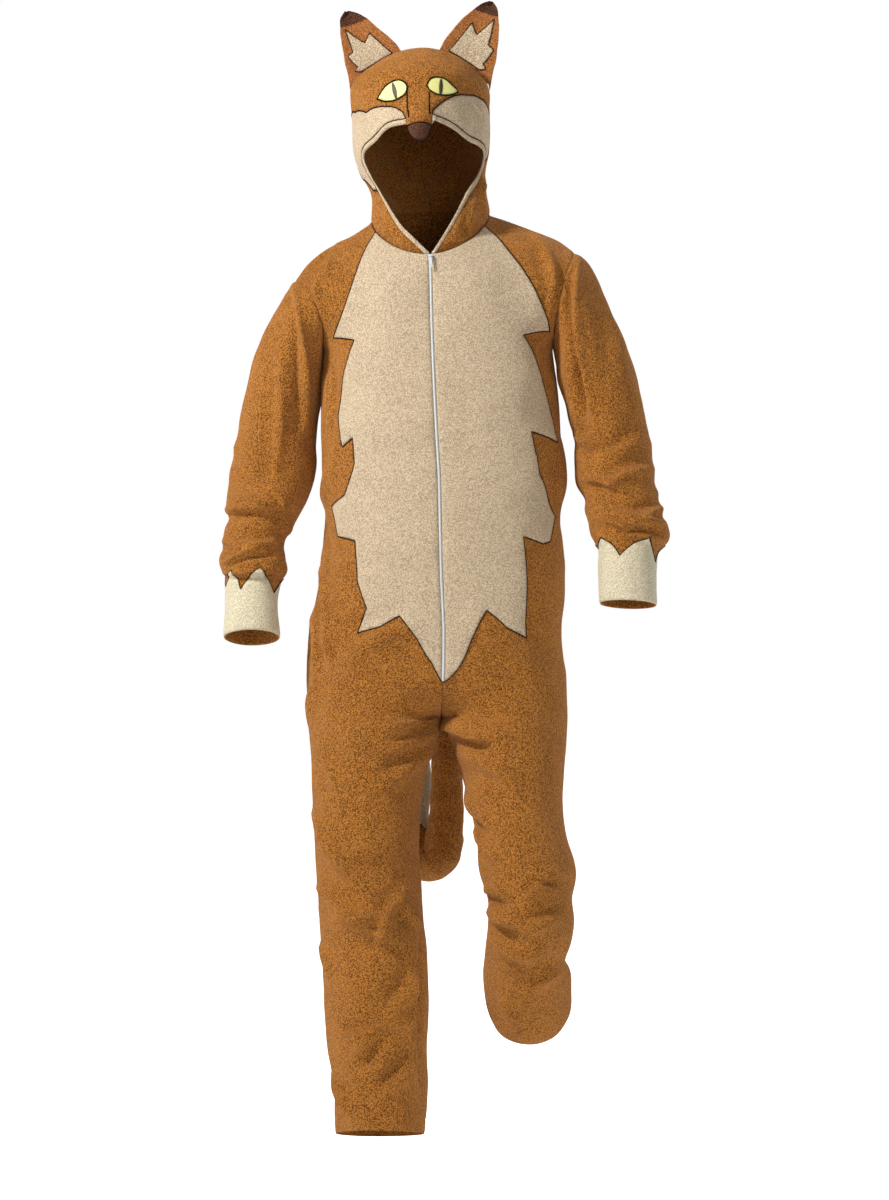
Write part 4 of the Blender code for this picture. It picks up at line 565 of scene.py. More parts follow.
def disc_point(flat):
    """Hood surface point of a flat place."""
    r = np.hypot(flat[..., 0], flat[..., 1])
    theta = np.arctan2(flat[..., 0], -flat[..., 1])
    return hood_point(theta, (1 - r) * POLE_ROW)


def disc_normal(flat):
    """Outward unit normal of the hood surface."""
    step = 1e-3
    across = disc_point(flat + [step, 0]) - disc_point(flat - [step, 0])
    along = disc_point(flat + [0, step]) - disc_point(flat - [0, step])
    normal = unit(np.cross(across, along))
    middle = np.array([-25.0, 16.0, 120.0])
    return normal * np.sign(np.sum(normal * (disc_point(flat) - middle), -1, keepdims=True))


def on_hood(outline, steps=1):
    """Flat places of an outline given by angle and height, with smooth steps between its rows."""
    at = np.linspace(0, len(outline["z"]) - 1, (len(outline["z"]) - 1) * steps + 1)
    outline = {name: spline(column, at) for name, column in outline.items()}
    theta = np.radians(outline["theta"])
    low, high = np.zeros(len(theta)) - 0.4, np.zeros(len(theta)) + POLE_ROW
    for _ in range(40):
        row = (low + high) / 2
        short = hood_point(theta, row)[:, 2] < outline["z"]
        low, high = np.where(short, row, low), np.where(short, high, row)
    return disc(theta, (low + high) / 2)


def grown(outline, distance):
    """Outline moved outward over the hood by a distance."""
    before, after = np.roll(outline, 1, 0), np.roll(outline, -1, 0)
    along = unit(after - before)
    side = np.stack([along[:, 1], -along[:, 0]], -1)
    side *= np.sign(np.sum(outline[:, 0] * after[:, 1] - outline[:, 1] * after[:, 0]))
    step = 1e-3
    scale = np.linalg.norm(disc_point(outline + side * step) - disc_point(outline), axis=-1) / step
    return outline + side * (distance / scale)[:, None]


def refine(grid, k, x, z):
    """Fractional column and row of a front-view point, near a grid point."""
    r = min(max(k[0], 1), grid.shape[0] - 2)
    c = min(max(k[1], 1), grid.shape[1] - 2)
    here = grid[r, c, [0, 2]]
    across = (grid[r, c + 1] - grid[r, c - 1])[[0, 2]] / 2
    down = (grid[r + 1, c] - grid[r - 1, c])[[0, 2]] / 2
    step = np.linalg.solve(np.stack([across, down], 1), np.array([x, z]) - here)
    step = np.clip(step, -1.5, 1.5)
    return max(c + step[0], 0), max(r + step[1], 0)


def crown_height(x, y):
    """Height of the hood's surface over a point of its plan, in millimetres."""
    low, high = np.zeros(x.shape) + 3, np.zeros(x.shape) + POLE_ROW
    for _ in range(30):
        row = (low + high) / 2
        depth = np.where(y < spline(HOOD["y"], row), spline(HOOD["front"], row), spline(HOOD["back"], row))
        across = (x - spline(HOOD["mid"], row)) / np.maximum(spline(HOOD["half_width"], row), 1e-6)
        along = (y - spline(HOOD["y"], row)) / np.maximum(depth, 1e-6)
        within = across ** 2 + along ** 2 < 1
        low, high = np.where(within, row, low), np.where(within, high, row)
    return spline(HOOD["z"], (low + high) / 2)


def islands_joined(tris, kinds):
    """Kinds of the triangles with every small island given to a piece beside it."""
    sides = {}
    for n, t in enumerate(tris):
        for i in range(3):
            sides.setdefault(frozenset((int(t[i]), int(t[(i + 1) % 3]))), []).append(n)
    beside = {n: [] for n in range(len(tris))}
    for pair in sides.values():
        if len(pair) == 2:
            beside[pair[0]].append(pair[1])
            beside[pair[1]].append(pair[0])
    kinds = kinds.copy()
    for kind in sorted(set(kinds) - {"hole"}):
        left, groups = set(np.flatnonzero(kinds == kind)), []
        while left:
            group, edge = set(), [left.pop()]
            while edge:
                n = edge.pop()
                group.add(n)
                near = [m for m in beside[n] if m in left]
                left.difference_update(near)
                edge += near
            groups.append(group)
        for group in sorted(groups, key=len)[:-1]:
            around = [kinds[m] for n in group for m in beside[n] if kinds[m] not in (kind, "hole")]
            for n in group:
                kinds[n] = max(sorted(set(around)), key=around.count) if around else "hole"
    return kinds


# Fine sheets: where the cloth is divided, in coarse rows and columns
STEPS_ACROSS = 9
STEPS_DOWN = 8
EDGE_CROWDING = 0.55
# Drop of the cloth beside each kind of seam, and how far it reaches
SEAMS = {"panel": (1.3, 2.6), "hem stitch": (0.9, 1.6), "hem edge": (1.0, 1.5), "underarm": (0.9, 2.0),
         "hood": (1.0, 2.0)}
HEM_STITCH = 22.0
# Appliques: height at the sewn edge, wall, fullness, and the longest side of their outlines in grid steps
PATCH_EDGE = 0.3
PATCH_WALL = PATCH - PATCH_EDGE
PATCH_PUFF = 0.5
FUR_PUFF = 0.3
PATCH_STEP = 0.08
PATCH_MARGIN = 1.3
HEM_ROWS = (0.02, 0.05, 0.35, 0.42, 0.49, 0.56, 0.63, 0.7)
# Size and height of the uneven swell of each kind of piece
SWELL = {"body": (70, 1.6), "sleeve": (55, 1.6), "hood": (45, 1.0), "ear": (16, 0.5), "tail": (26, 1.6)}
# Depth and breadth of every crease against its table, and how far from a seam it flattens
CREASE_RISE = 1.9
CREASE_BREADTH = 0.78
FOLD_REACH = 13
SHOULDER_REACH = 20
HOOD_REACH = 9
SWELL_REACH = 8
# Zigzag stitches on belly and cuffs, round the eyes, on the hood, the ear fur and the tail's tip
STITCH = {"width": 1.4, "pitch": 0.65, "rise": 1.1, "radius": 0.72}
EYE_STITCH = {"width": 1.6, "pitch": 0.55, "rise": 1.0, "radius": 1.05}
HOOD_STITCH = {"width": 1.3, "pitch": 0.65, "rise": 0.9, "radius": 0.7}
FUR_STITCH = {"width": 1.8, "pitch": 0.9, "rise": 1.0, "radius": 0.65}
TIP_STITCH = {"width": 1.4, "pitch": 0.6, "rise": 0.5, "radius": 0.6}
# Length of the long cuts in metres
CUT_LENGTH = {"body": 1.52, "sleeve": 0.62, "cuff": 0.24}


def catmull(values, at):
    """Smooth curve through values along their first axis, read at fractional places."""
    v = np.concatenate((2 * values[:1] - values[1:2], values, 2 * values[-1:] - values[-2:-1]))
    i = np.clip(np.floor(at).astype(int), 0, len(values) - 2)
    f = (at - i).reshape(-1, *[1] * (values.ndim - 1))
    a, b, c, d = v[i], v[i + 1], v[i + 2], v[i + 3]
    return 0.5 * (2 * b + f * (c - a + f * (2 * a - 5 * b + 4 * c - d + f * (3 * (b - c) + d - a))))


def resample(grid, rows, columns):
    """Smooth surface through a grid, read at fractional rows and columns."""
    return np.swapaxes(catmull(np.swapaxes(catmull(grid, rows), 0, 1), columns), 0, 1)


def crowded(last, count):
    """Places from 0 to last, closer together near both ends."""
    t = np.linspace(0, 1, count + 1)
    return last * (t - EDGE_CROWDING * np.sin(2 * np.pi * t) / (2 * np.pi))


def seen(points):
    """Where the photo's camera sees each point, on the upright plane through the neck."""
    eye = np.array([EYE_X, -EYE_BACK, EYE_Z])
    scale = EYE_BACK / (EYE_BACK + points[..., 1])
    return eye[[0, 2]] + (points[..., [0, 2]] - eye[[0, 2]]) * scale[..., None]


def creases(flat, rows):
    """Height of soft creases at flat places: curved ridges, each with a trough, fading at their ends."""
    total = np.zeros(flat.shape[:-1])
    for x1, z1, x2, z2, bow, width, height in zip(*rows.values()):
        start, run = np.array([x1, z1]), np.array([x2 - x1, z2 - z1])
        long = np.hypot(*run)
        side = np.array([run[1], -run[0]]) / long
        t = (flat - start) @ run / long ** 2
        middle = np.clip(t, 0, 1)
        off = (flat - start) @ side - bow * 4 * middle * (1 - middle)
        width = width * CREASE_BREADTH
        past = np.abs(t - middle) * long / width
        fade = np.sin(np.pi * np.clip(0.12 + 0.76 * middle, 0, 1)) ** 1.2 * np.exp(-past ** 2)
        ridge = np.exp(-np.abs(off / width) ** 1.5)
        trough = 0.55 * np.exp(-((off - 1.8 * width) / (1.2 * width)) ** 2)
        total += CREASE_RISE * height * fade * (ridge - trough)
    return total


def ripple(points, size, height):
    """Uneven low swell of soft cloth, by place alone."""
    flat = points.reshape(-1, 3) / size
    swell = [noise.noise(Vector(p)) + 0.4 * noise.noise(Vector(p * 2.3)) for p in flat]
    return height * np.array(swell).reshape(points.shape[:-1])


def along(grid, axis):
    """Distance run along an axis of a grid."""
    steps = np.linalg.norm(np.diff(grid, axis=axis), axis=-1)
    zero = np.zeros_like(np.take(steps, [0], axis))
    return np.concatenate((zero, np.cumsum(steps, axis)), axis)


def seam(distance, kind="panel"):
    """Drop of the cloth beside a seam."""
    depth, reach = SEAMS[kind]
    return -depth * np.exp(-(distance / reach) ** 2)


def settled(distance, reach=FOLD_REACH):
    """Share of a crease that is left at a distance from a seam."""
    t = np.clip(distance / reach, 0, 1)
    return t * t * (3 - 2 * t)


def panel(side, face):
    """Fine sheet of a front or a back, with its creases, seams and hem."""
    coarse = body_grid(side, face)[0]
    rows = np.linspace(0, YOKE_ROWS + HEM_ROW, (YOKE_ROWS + HEM_ROW) * STEPS_DOWN + 1)
    hem = YOKE_ROWS + HEM_ROW - np.array(HEM_ROWS)
    rows = np.unique(np.round(np.concatenate((rows, hem)), 4))
    columns = crowded(COLUMNS, COLUMNS * STEPS_ACROSS)
    grid = resample(coarse, rows * FINE, columns * FINE)
    zip_rows = (rows <= YOKE_ROWS + ZIP_END_ROW) & (face == "front")
    trim = np.where(zip_rows, ZIP_HALF + GAP, 0)[:, None] * np.clip(1 - columns, 0, 1)
    grid[..., 0] += SIDES[side] * trim
    outward = grid - [SIDES[side] * HALF_MIDDLE, 0, 0]
    outward[..., 2] = 0
    normal = normals_of(grid, outward)
    across, down = along(grid, 1), along(grid, 0)
    sides = np.minimum(across, across[:, -1:] - across)
    edge = np.minimum(sides, down)
    to_hem = down[-1:] - down
    flat = seen(grid) if face == "front" else grid[..., [0, 2]]
    height = creases(flat, CREASES[face]) * settled(edge)
    height += ripple(grid, *SWELL["body"]) * settled(edge, SWELL_REACH)
    height += seam(edge) + seam(to_hem - HEM_STITCH, "hem stitch") + seam(to_hem, "hem edge")
    grid = grid + normal * height[..., None]
    return {"points": grid, "normal": normals_of(grid, outward), "rows": rows, "columns": columns}


def tube(side):
    """Fine sheet of a sleeve, with its creases, shoulder seam and underarm seam."""
    coarse = sleeve_grid(side)[0]
    last = len(SLEEVE[side]["y"]) - 1
    rows = np.linspace(0, last, last * STEPS_DOWN + 1)
    columns = np.linspace(0, SLEEVE_COLUMNS, SLEEVE_COLUMNS * STEPS_ACROSS + 1)
    ring = np.concatenate((coarse[:, -3:-1], coarse, coarse[:, 1:3]), 1)
    grid = resample(ring, rows * FINE, columns * FINE + 2)
    outward = grid - grid[:, :-1].mean(1, keepdims=True)
    normal = normals_of(grid, outward, closed=True)
    across, down = along(grid, 1), along(grid, 0)
    under = np.minimum(across, across[:, -1:] - across)
    front = np.clip(0.5 - 1.2 * normal[..., 1], 0, 1)
    folds = creases(seen(grid), CREASES["sleeve front"]) * front
    folds += creases(grid[..., [0, 2]], CREASES["sleeve back"]) * (1 - front)
    height = folds * settled(down, SHOULDER_REACH)
    height += ripple(grid, *SWELL["sleeve"]) * settled(down, SWELL_REACH)
    height += seam(down) + seam(under, "underarm")
    grid = grid + normal * height[..., None]
    grid[:, -1] = grid[:, 0]
    normal = normals_of(grid, outward, closed=True)
    return {"points": grid, "normal": normal, "rows": rows, "columns": columns}


def grid_faces(rows, columns):
    """Four-sided faces of a grid."""
    a = (np.arange(rows - 1)[:, None] * columns + np.arange(columns - 1)).reshape(-1)
    return np.stack([a, a + columns, a + columns + 1, a + 1], 1)


def on_sheet(sheet, spots):
    """Points and normals of a fine sheet at coarse columns and rows."""
    c = np.interp(spots[:, 0], sheet["columns"], np.arange(len(sheet["columns"])))
    r = np.interp(spots[:, 1], sheet["rows"], np.arange(len(sheet["rows"])))
    i = np.clip(c.astype(int), 0, len(sheet["columns"]) - 2)
    j = np.clip(r.astype(int), 0, len(sheet["rows"]) - 2)
    c, r = (c - i)[:, None], (r - j)[:, None]
    out = []
    for values in (sheet["points"], sheet["normal"]):
        top = values[j, i] * (1 - c) + values[j, i + 1] * c
        low = values[j + 1, i] * (1 - c) + values[j + 1, i + 1] * c
        out.append(top * (1 - r) + low * r)
    return out[0], unit(out[1])


def triangles_in(points, edges, near=1e-4):
    """Constrained triangulation of flat points; returns its points and triangles."""
    out = delaunay_2d_cdt([tuple(p) for p in points], [tuple(e) for e in edges], [], 0, near)
    return np.array([tuple(p) for p in out[0]]), np.array([tuple(f) for f in out[2] if len(f) == 3])


def ring_edges(start, count):
    """Edges of a closed outline whose points start at a given number."""
    return [(start + i, start + (i + 1) % count) for i in range(count)]


def nearest(points, to):
    """Distance from each point to the nearest of some others."""
    tree = kdtree.KDTree(len(to))
    for i, p in enumerate(to):
        tree.insert(p, i)
    tree.balance()
    return np.array([tree.find(p)[2] for p in points])


def patch_net(outline, nodes):
    """Points and triangles of a flat patch from its outline and the places inside it."""
    flat, faces = triangles_in(np.concatenate((outline, nodes)), ring_edges(0, len(outline)))
    return flat, faces[inside(flat[faces].mean(1), outline)]


def applique(sheet, outline):
    """Patch laid on a fine sheet inside an outline, thin at its sewn edge: its points and faces."""
    outline = finer(outline, PATCH_STEP)
    rows, columns = np.meshgrid(sheet["rows"], sheet["columns"], indexing="ij")
    nodes = np.stack([columns.reshape(-1), rows.reshape(-1)], 1)
    low, high = outline.min(0), outline.max(0)
    nodes = nodes[np.all((nodes > low) & (nodes < high), axis=1)]
    nodes = nodes[inside(nodes, outline)]
    edge, _ = on_sheet(sheet, outline)
    where, _ = on_sheet(sheet, nodes)
    flat, faces = patch_net(outline, nodes[nearest(where, edge) > PATCH_MARGIN])
    return lifted(*on_sheet(sheet, flat), edge, PATCH_PUFF), faces


def lifted(points, normal, edge, puff):
    """Points raised to an applique's face, low at its edge and fuller inside."""
    distance = nearest(points, edge)
    rise = GAP + PATCH_EDGE + PATCH_WALL * (1 - np.exp(-(distance / 1.8) ** 2))
    rise += puff * (1 - np.exp(-(distance / 9) ** 2))
    return points + normal * rise[:, None]


def cloth(name, points, faces, thick=CLOTH, normal=None):
    """Cloth piece from a sheet of points in millimetres, thickened inward."""
    mesh = bpy.data.meshes.new(name)
    corners = faces if isinstance(faces, list) else faces.tolist()
    mesh.from_pydata((np.asarray(points).reshape(-1, 3) * MM).tolist(), [], corners)
    mesh.validate()
    made = bpy.data.objects.new(name, mesh)
    bpy.context.scene.collection.objects.link(made)
    if normal is not None:
        turned_out(mesh, np.asarray(normal).reshape(-1, 3))
    mesh.shade_smooth()
    if thick:
        shell = made.modifiers.new("thickness", "SOLIDIFY")
        shell.thickness = thick * MM
        shell.offset = -1
    return made


def turned_out(mesh, normal):
    """Faces turned to look along the given normals of their points."""
    total = sum(p.normal.dot(Vector(normal[p.vertices[0]])) for p in mesh.polygons)
    if total < 0:
        mesh.flip_normals()


def worn(piece, node, finish):
    """A piece that stands for a solid: its body, node and material."""
    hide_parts(node)
    return sewn(piece, finish)


def sewn(piece, finish):
    """A piece that is sewn on, such as a line of stitches."""
    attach(piece, "garment")
    piece.data.materials.append(finish)
    return piece


def declare(piece, long=None):
    """Work out a cloth piece's loop triangles and the longest side of the box that holds it, unless a
    length is given.
    """
    mesh = piece.data
    mesh.calc_loop_triangles()
    low, high = np.array(piece.bound_box).min(0), np.array(piece.bound_box).max(0)
    long = long or float((high - low).max())


def thread(name, path, radius):
    """Thread as a three-sided tube along an open path of points."""
    run = unit(np.gradient(path, axis=0) + 1e-9)
    side = unit(np.cross(run, [0.31, 0.17, 0.93]))
    other = np.cross(run, side)
    angles = [2 * np.pi * k / 3 for k in range(3)]
    points = [path + radius * (side * math.cos(a) + other * math.sin(a)) for a in angles]
    count = len(path)
    i = np.arange(count - 1)
    starts = [(k * count, (k + 1) % 3 * count) for k in range(3)]
    faces = [np.stack([a + i, a + i + 1, b + i + 1, b + i], 1) for a, b in starts]
    return cloth(name, np.concatenate(points), np.concatenate(faces), thick=0)


def walked(points, extra, pitch):
    """A path and values beside it, read at even steps."""
    run = along(points[None], 1)[0]
    count = max(2, int(run[-1] / pitch))
    at = np.linspace(0, run[-1], count)
    return [np.stack([np.interp(at, run, v[:, k]) for k in range(v.shape[1])], 1) for v in (points, extra)]


def zigzag(points, normal, width, pitch, rise, closed=True):
    """Zigzag stitches along an edge, from just outside it to inside."""
    if closed:
        points, normal = np.concatenate((points, points[:1])), np.concatenate((normal, normal[:1]))
    points, normal = walked(points, normal, pitch)
    side = unit(np.cross(np.gradient(points, axis=0), normal) + 1e-9)
    swing = np.where(np.arange(len(points)) % 2, 1.0, -1.0)[:, None] * width / 2
    return points + side * swing + normal * rise


def stitched(name, edge, normal, finish, stitch=STITCH, closed=True, slot="dark_fleece"):
    """Zigzag stitches along a sewn edge."""
    path = zigzag(edge, normal, stitch["width"], stitch["pitch"], stitch["rise"], closed)
    return sewn(thread(name, path, stitch["radius"]), finish)


def make_body(look):
    """Fronts and backs, and the belly halves with their sewn edges."""
    for side in SIDES:
        for face in ("front", "back"):
            sheet = panel(side, face)
            faces = grid_faces(len(sheet["rows"]), len(sheet["columns"]))
            node = face + "_" + side
            piece = cloth(node + "_cloth", sheet["points"], faces, CLOTH, sheet["normal"])
            worn(piece, node, look["brown"])
            declare(piece, CUT_LENGTH["body"])
            if face == "front":
                make_belly(side, sheet, look)


def make_belly(side, sheet, look):
    """Belly half laid on a front, and the dark zigzag along its edge."""
    outline = belly_outline(side)
    points, faces = applique(sheet, outline)
    node = "belly_" + side
    piece = cloth(node + "_cloth", points, faces, PATCH_WALL)
    faced_front(piece)
    worn(piece, node, look["cream"])
    declare(piece)
    edge = finer(outline, PATCH_STEP)
    on_zip = edge[:, 0] < 1e-6
    last = int(np.argmax(np.roll(on_zip, -1) & on_zip))
    stitched(node + "_zigzag", *on_sheet(sheet, edge[:last + 1]), look["thread"], closed=False)


def faced_front(piece):
    """Turn a laid piece's faces to the front."""
    if sum(p.normal.y * p.area for p in piece.data.polygons) > 0:
        piece.data.flip_normals()


def belly_outline(side):
    """Belly edge in the front panel's grid numbers, closed along the zip."""
    grid = body_grid(side, "front")[0]
    places = []
    for x, z in zip(BELLY[side]["x"], BELLY[side]["z"]):
        miss = np.hypot(grid[..., 0] - x, grid[..., 2] - z)
        k = np.unravel_index(miss.argmin(), miss.shape)
        places.append(refine(grid, k, x, z))
    places = np.array(places) / FINE
    places[0, 1] = 0
    places[-1, 0] = 0
    return np.concatenate((places, [[0, 0]]))


def make_sleeves(look):
    """Sleeves, and the pale cuffs with their zigzag upper edge."""
    for side in SIDES:
        sheet = tube(side)
        faces = grid_faces(len(sheet["rows"]), len(sheet["columns"]))
        node = "sleeve_" + side
        piece = cloth(node + "_cloth", sheet["points"], faces, CLOTH, sheet["normal"])
        worn(piece, node, look["brown"])
        declare(piece, CUT_LENGTH["sleeve"])
        last = len(SLEEVE[side]["y"]) - 1
        teeth = np.stack([CUFF[side]["angle"] / 360 * SLEEVE_COLUMNS, CUFF[side]["row"]], 1)
        outline = np.concatenate((teeth, [(SLEEVE_COLUMNS, last), (0, last)]))
        points, faces = applique(sheet, outline)
        node = "cuff_" + side
        piece = cloth(node + "_cloth", points, faces, PATCH_WALL, points - points.mean(0))
        worn(piece, node, look["pale"])
        declare(piece, CUT_LENGTH["cuff"])
        edge = on_sheet(sheet, open_path(teeth, 0.05))
        stitched(node + "_zigzag", *edge, look["thread"], closed=False)


def open_path(corners, longest):
    """Open path with points added so no step is longer than the given length."""
    out = [corners[:1]]
    for a, b in zip(corners[:-1], corners[1:]):
        count = max(1, math.ceil(np.linalg.norm(b - a) / longest))
        out.append(a + (b - a) * np.arange(1, count + 1)[:, None] / count)
    return np.concatenate(out)


# The hood's lower edge turns in under the neck seam: disc radius where it starts, and how far it goes
TUCK_START = 0.988
TUCK_IN = 2.6
TUCK_DOWN = 3.2
# The hood's fine net, in shares of the disc's radius
HOOD_CORNERS = 240
HOOD_SEAM_POINTS = 110
HOOD_LINE_STEP = 0.009
HOOD_RING_STEP = 0.0105


def hood_lines():
    """Closed outlines of the hood's opening, binding, nose, cheeks and face, on the flat disc."""
    nose = on_hood(NOSE, 4)
    steps = OPENING_STEPS * 4
    hole = on_hood(OPENING, steps)
    low, after = OPENING_LOW * steps, (OPENING_LOW + 1) * steps
    past_neck = hole[low:after + 1] * OPENING_PAST
    hole_edge = np.concatenate((hole[:low + 1], past_neck, hole[after:], nose))
    rim = grown(hole, BINDING_WIDTH)
    right_corner = hole[[k * steps for k in (6, 5, 4, 3, 2, 1)]] * CHEEK_PAST
    left_corner = hole[[k * steps for k in (16, 17, 18, 19)]] * CHEEK_PAST
    face = {side: on_hood(CHEEK[side]) for side in SIDES}
    back = on_hood(FACE_BACK)
    brow = np.concatenate((face["right"][:9], back, face["left"][:8][::-1], nose[[0]], nose[[-1]]))
    cheeks = [np.concatenate((face["right"], right_corner)), np.concatenate((face["left"], left_corner))]
    return [hole_edge, rim, nose, brow, *cheeks]


def hood_net():
    """Fine triangles of the whole hood on the flat disc, with the piece each belongs to."""
    loops = [finer(loop, HOOD_LINE_STEP) for loop in hood_lines()]
    corners = np.linspace(-np.pi, np.pi, HOOD_CORNERS + 1)[:-1]
    edge = disc(corners, 0)
    seam_line = np.stack([np.zeros(HOOD_SEAM_POINTS), np.linspace(1, 0, HOOD_SEAM_POINTS)], 1)
    points, edges = [edge], ring_edges(0, len(edge))
    for loop in loops:
        edges += ring_edges(sum(map(len, points)), len(loop))
        points.append(loop)
    start = sum(map(len, points))
    points.append(seam_line)
    edges += [(start + i, start + i + 1) for i in range(len(seam_line) - 1)]
    fixed = np.concatenate(points)
    free = []
    for k, r in enumerate(np.arange(0.02, 0.995, HOOD_RING_STEP)):
        count = int(np.clip(2 * np.pi * min(r, 0.32) / HOOD_RING_STEP * 1.2, 12, HOOD_CORNERS))
        turn = np.linspace(0, 2 * np.pi, count, endpoint=False)
        free.append(disc(turn + 0.5 * (k % 2) * 2 * np.pi / count, (1 - r) * POLE_ROW))
    free = np.concatenate(free)
    free = free[nearest(np.pad(free, ((0, 0), (0, 1))), np.pad(fixed, ((0, 0), (0, 1)))) > 0.005]
    flat, tris = triangles_in(np.concatenate((fixed, free)), edges, 5e-4)
    middle = flat[tris].mean(1)
    kinds = np.where(middle[:, 0] < 0, "hood_right", "hood_left").astype(object)
    face = inside(middle, loops[3])
    kinds[inside(middle, loops[4]) & ~face] = "cheek_right"
    kinds[inside(middle, loops[5]) & ~face] = "cheek_left"
    kinds[face] = "face_panel"
    bound = inside(middle, loops[1]) & ~face
    kinds[bound & (middle[:, 0] < 0)] = "binding_right"
    kinds[bound & (middle[:, 0] >= 0)] = "binding_left"
    kinds[inside(middle, loops[0])] = "hole"
    kinds[inside(middle, loops[2])] = "nose"
    kinds[~inside(middle, edge)] = "hole"
    return flat, tris, islands_joined(tris, kinds)


def make_hood(look):
    """Hood, face, cheeks, binding and nose, each with its own edge drawn down at its seams."""
    flat, tris, kinds = hood_net()
    points, normal = disc_point(flat), disc_normal(flat)
    front = np.clip(0.5 - 1.5 * normal[:, 1], 0, 1)
    folds = creases(seen(points), CREASES["hood"]) * front
    folds += creases(points[:, [0, 2]], CREASES["hood back"]) * (1 - front)
    folds += ripple(points, *SWELL["hood"])
    finishes = {"hood": "brown", "face": "brown", "cheek": "cream", "binding": "cream", "nose": "dark"}
    sheets = {}
    for kind in sorted(set(kinds) - {"hole"}):
        chosen = tris[kinds == kind]
        used, faces = np.unique(chosen, return_inverse=True)
        faces = faces.reshape(-1, 3)
        rim = sorted({i for pair in rim_of(faces) for i in pair})
        distance = nearest(points[used], points[used][rim])
        height = folds[used] * settled(distance, HOOD_REACH) + seam(distance, "hood")
        if kind.startswith("binding"):
            height = 1.6 * np.sqrt(np.clip(distance / 3.5, 0, 1)) - 0.4
        if kind == "nose":
            height = 1.2 * np.sqrt(np.clip(distance / 6, 0, 1))
        shown = points[used] + normal[used] * height[:, None]
        if kind.startswith("hood"):
            tuck = np.clip((np.hypot(*flat[used].T) - TUCK_START) / (1 - TUCK_START), 0, 1)[:, None]
            shown = shown - tuck * (TUCK_IN * normal[used] + [0, 0, TUCK_DOWN])
        piece = cloth(kind + "_cloth", shown, faces, CLOTH, normal[used])
        finish = finishes[kind.split("_")[0]]
        worn(piece, kind, look[finish])
        if kind != "face_panel":
            declare(piece)
        sheets[kind] = {"faces": faces, "points": shown, "normal": normal[used]}
    return sheets


def rim_of(faces):
    """Edges that only one triangle uses."""
    directed = {(int(t[i]), int(t[(i + 1) % 3])) for t in faces for i in range(3)}
    return [(a, b) for a, b in directed if (b, a) not in directed]


def hood_patch(outline, longest, rise, height):
    """Small applique on the hood: its points, faces and edge."""
    outline = finer(outline, longest)
    low, high = outline.min(0), outline.max(0)
    x, y = np.meshgrid(np.arange(low[0], high[0], longest), np.arange(low[1], high[1], longest))
    nodes = np.stack([x.reshape(-1), y.reshape(-1)], 1)
    nodes = nodes[inside(nodes, outline)]
    apart = np.linalg.norm(nodes[:, None] - outline[None], axis=-1).min(1) > longest / 2
    flat, faces = patch_net(outline, nodes[apart])
    points, normal = disc_point(flat), disc_normal(flat)
    distance = nearest(points, disc_point(outline))
    swell = rise + height * (1 - np.exp(-(distance / 1.6) ** 2))
    edge, edge_normal = disc_point(outline), disc_normal(outline)
    return points + normal * swell[:, None], faces, normal, edge + edge_normal * rise, edge_normal


def make_face(look):
    """Eyes with black outlines, slit pupils and tear lines on the face panel."""
    for side in SIDES:
        eye, edge, edge_normal = face_patch("eye", side, EYE, 0.006, 0.4, 1.1, look["satin"])
        pupil = face_patch("pupil", side, PUPIL, 0.003, 1.9, 0.7, look["pupil"])[0]
        face_patch("tear", side, TEAR, 0.003, 0.4, 0.9, look["thread"])[0]
        rim = stitched("eye_" + side + "_outline", edge, edge_normal, look["black"], EYE_STITCH,
                       slot="black_satin")
        declare(eye, None)
    declare(bpy.data.objects["face_panel_cloth"], None)


def face_patch(kind, side, outlines, longest, rise, height, finish):
    """One small applique of the face: its piece, and its edge with normals."""
    points, faces, normal, edge, edge_normal = hood_patch(on_hood(outlines[side], 4), longest, rise, height)
    name = kind + "_" + side
    piece = cloth(name + "_cloth", points, faces, 0.8, normal)
    return worn(piece, name, finish), edge, edge_normal


def make_hood_stitches(sheets, look):
    """Dark zigzag stitches round the cheeks and the nose."""
    for kind in ("cheek_right", "cheek_left", "nose"):
        sheet = sheets[kind]
        loop = rim_loop(rim_of(sheet["faces"]))
        edge, normal = sheet["points"][loop], sheet["normal"][loop]
        stitched(kind + "_zigzag", edge, normal, look["thread"], HOOD_STITCH)


def rim_loop(pairs):
    """Points of a closed rim in order."""
    after = dict(pairs)
    start = min(after)
    loop, at = [start], after[start]
    while at != start and len(loop) <= len(after):
        loop.append(at)
        at = after[at]
    return loop


def ear_grid(sections, last, back, across=25, down=8):
    """Fine grid of one face of an ear."""
    columns = (1 - np.cos(np.linspace(0, np.pi, across))) / 2
    return ear_surface(sections, *np.meshgrid(columns, np.linspace(0, last, last * down + 1)), back)


def ear_surface(sections, across, row, back):
    """Point on an ear's front or back; across is 0 at the outer edge and 1 at the inner edge."""
    at = {name: spline(column, row) for name, column in sections.items()}
    x = at["x_out"] + (at["x_in"] - at["x_out"]) * across
    z = at["z_out"] + (at["z_in"] - at["z_out"]) * across
    bulge = np.clip(4 * across * (1 - across), 0, 1)
    half = at["thick"] / 2 * (0.12 + 0.88 * bulge ** 0.6)
    y = at["y"] + EAR_DISH * bulge + (half if back else -half)
    if sections["seated"][0]:
        base = spline(sections["z_out"], 0 * row) * (1 - across)
        base = base + spline(sections["z_in"], 0 * row) * across
        z = z + (crown_height(x, y) - 1.0 - base) * np.clip(1 - row, 0, 1) ** 2
    return np.stack([x, y, z], -1)


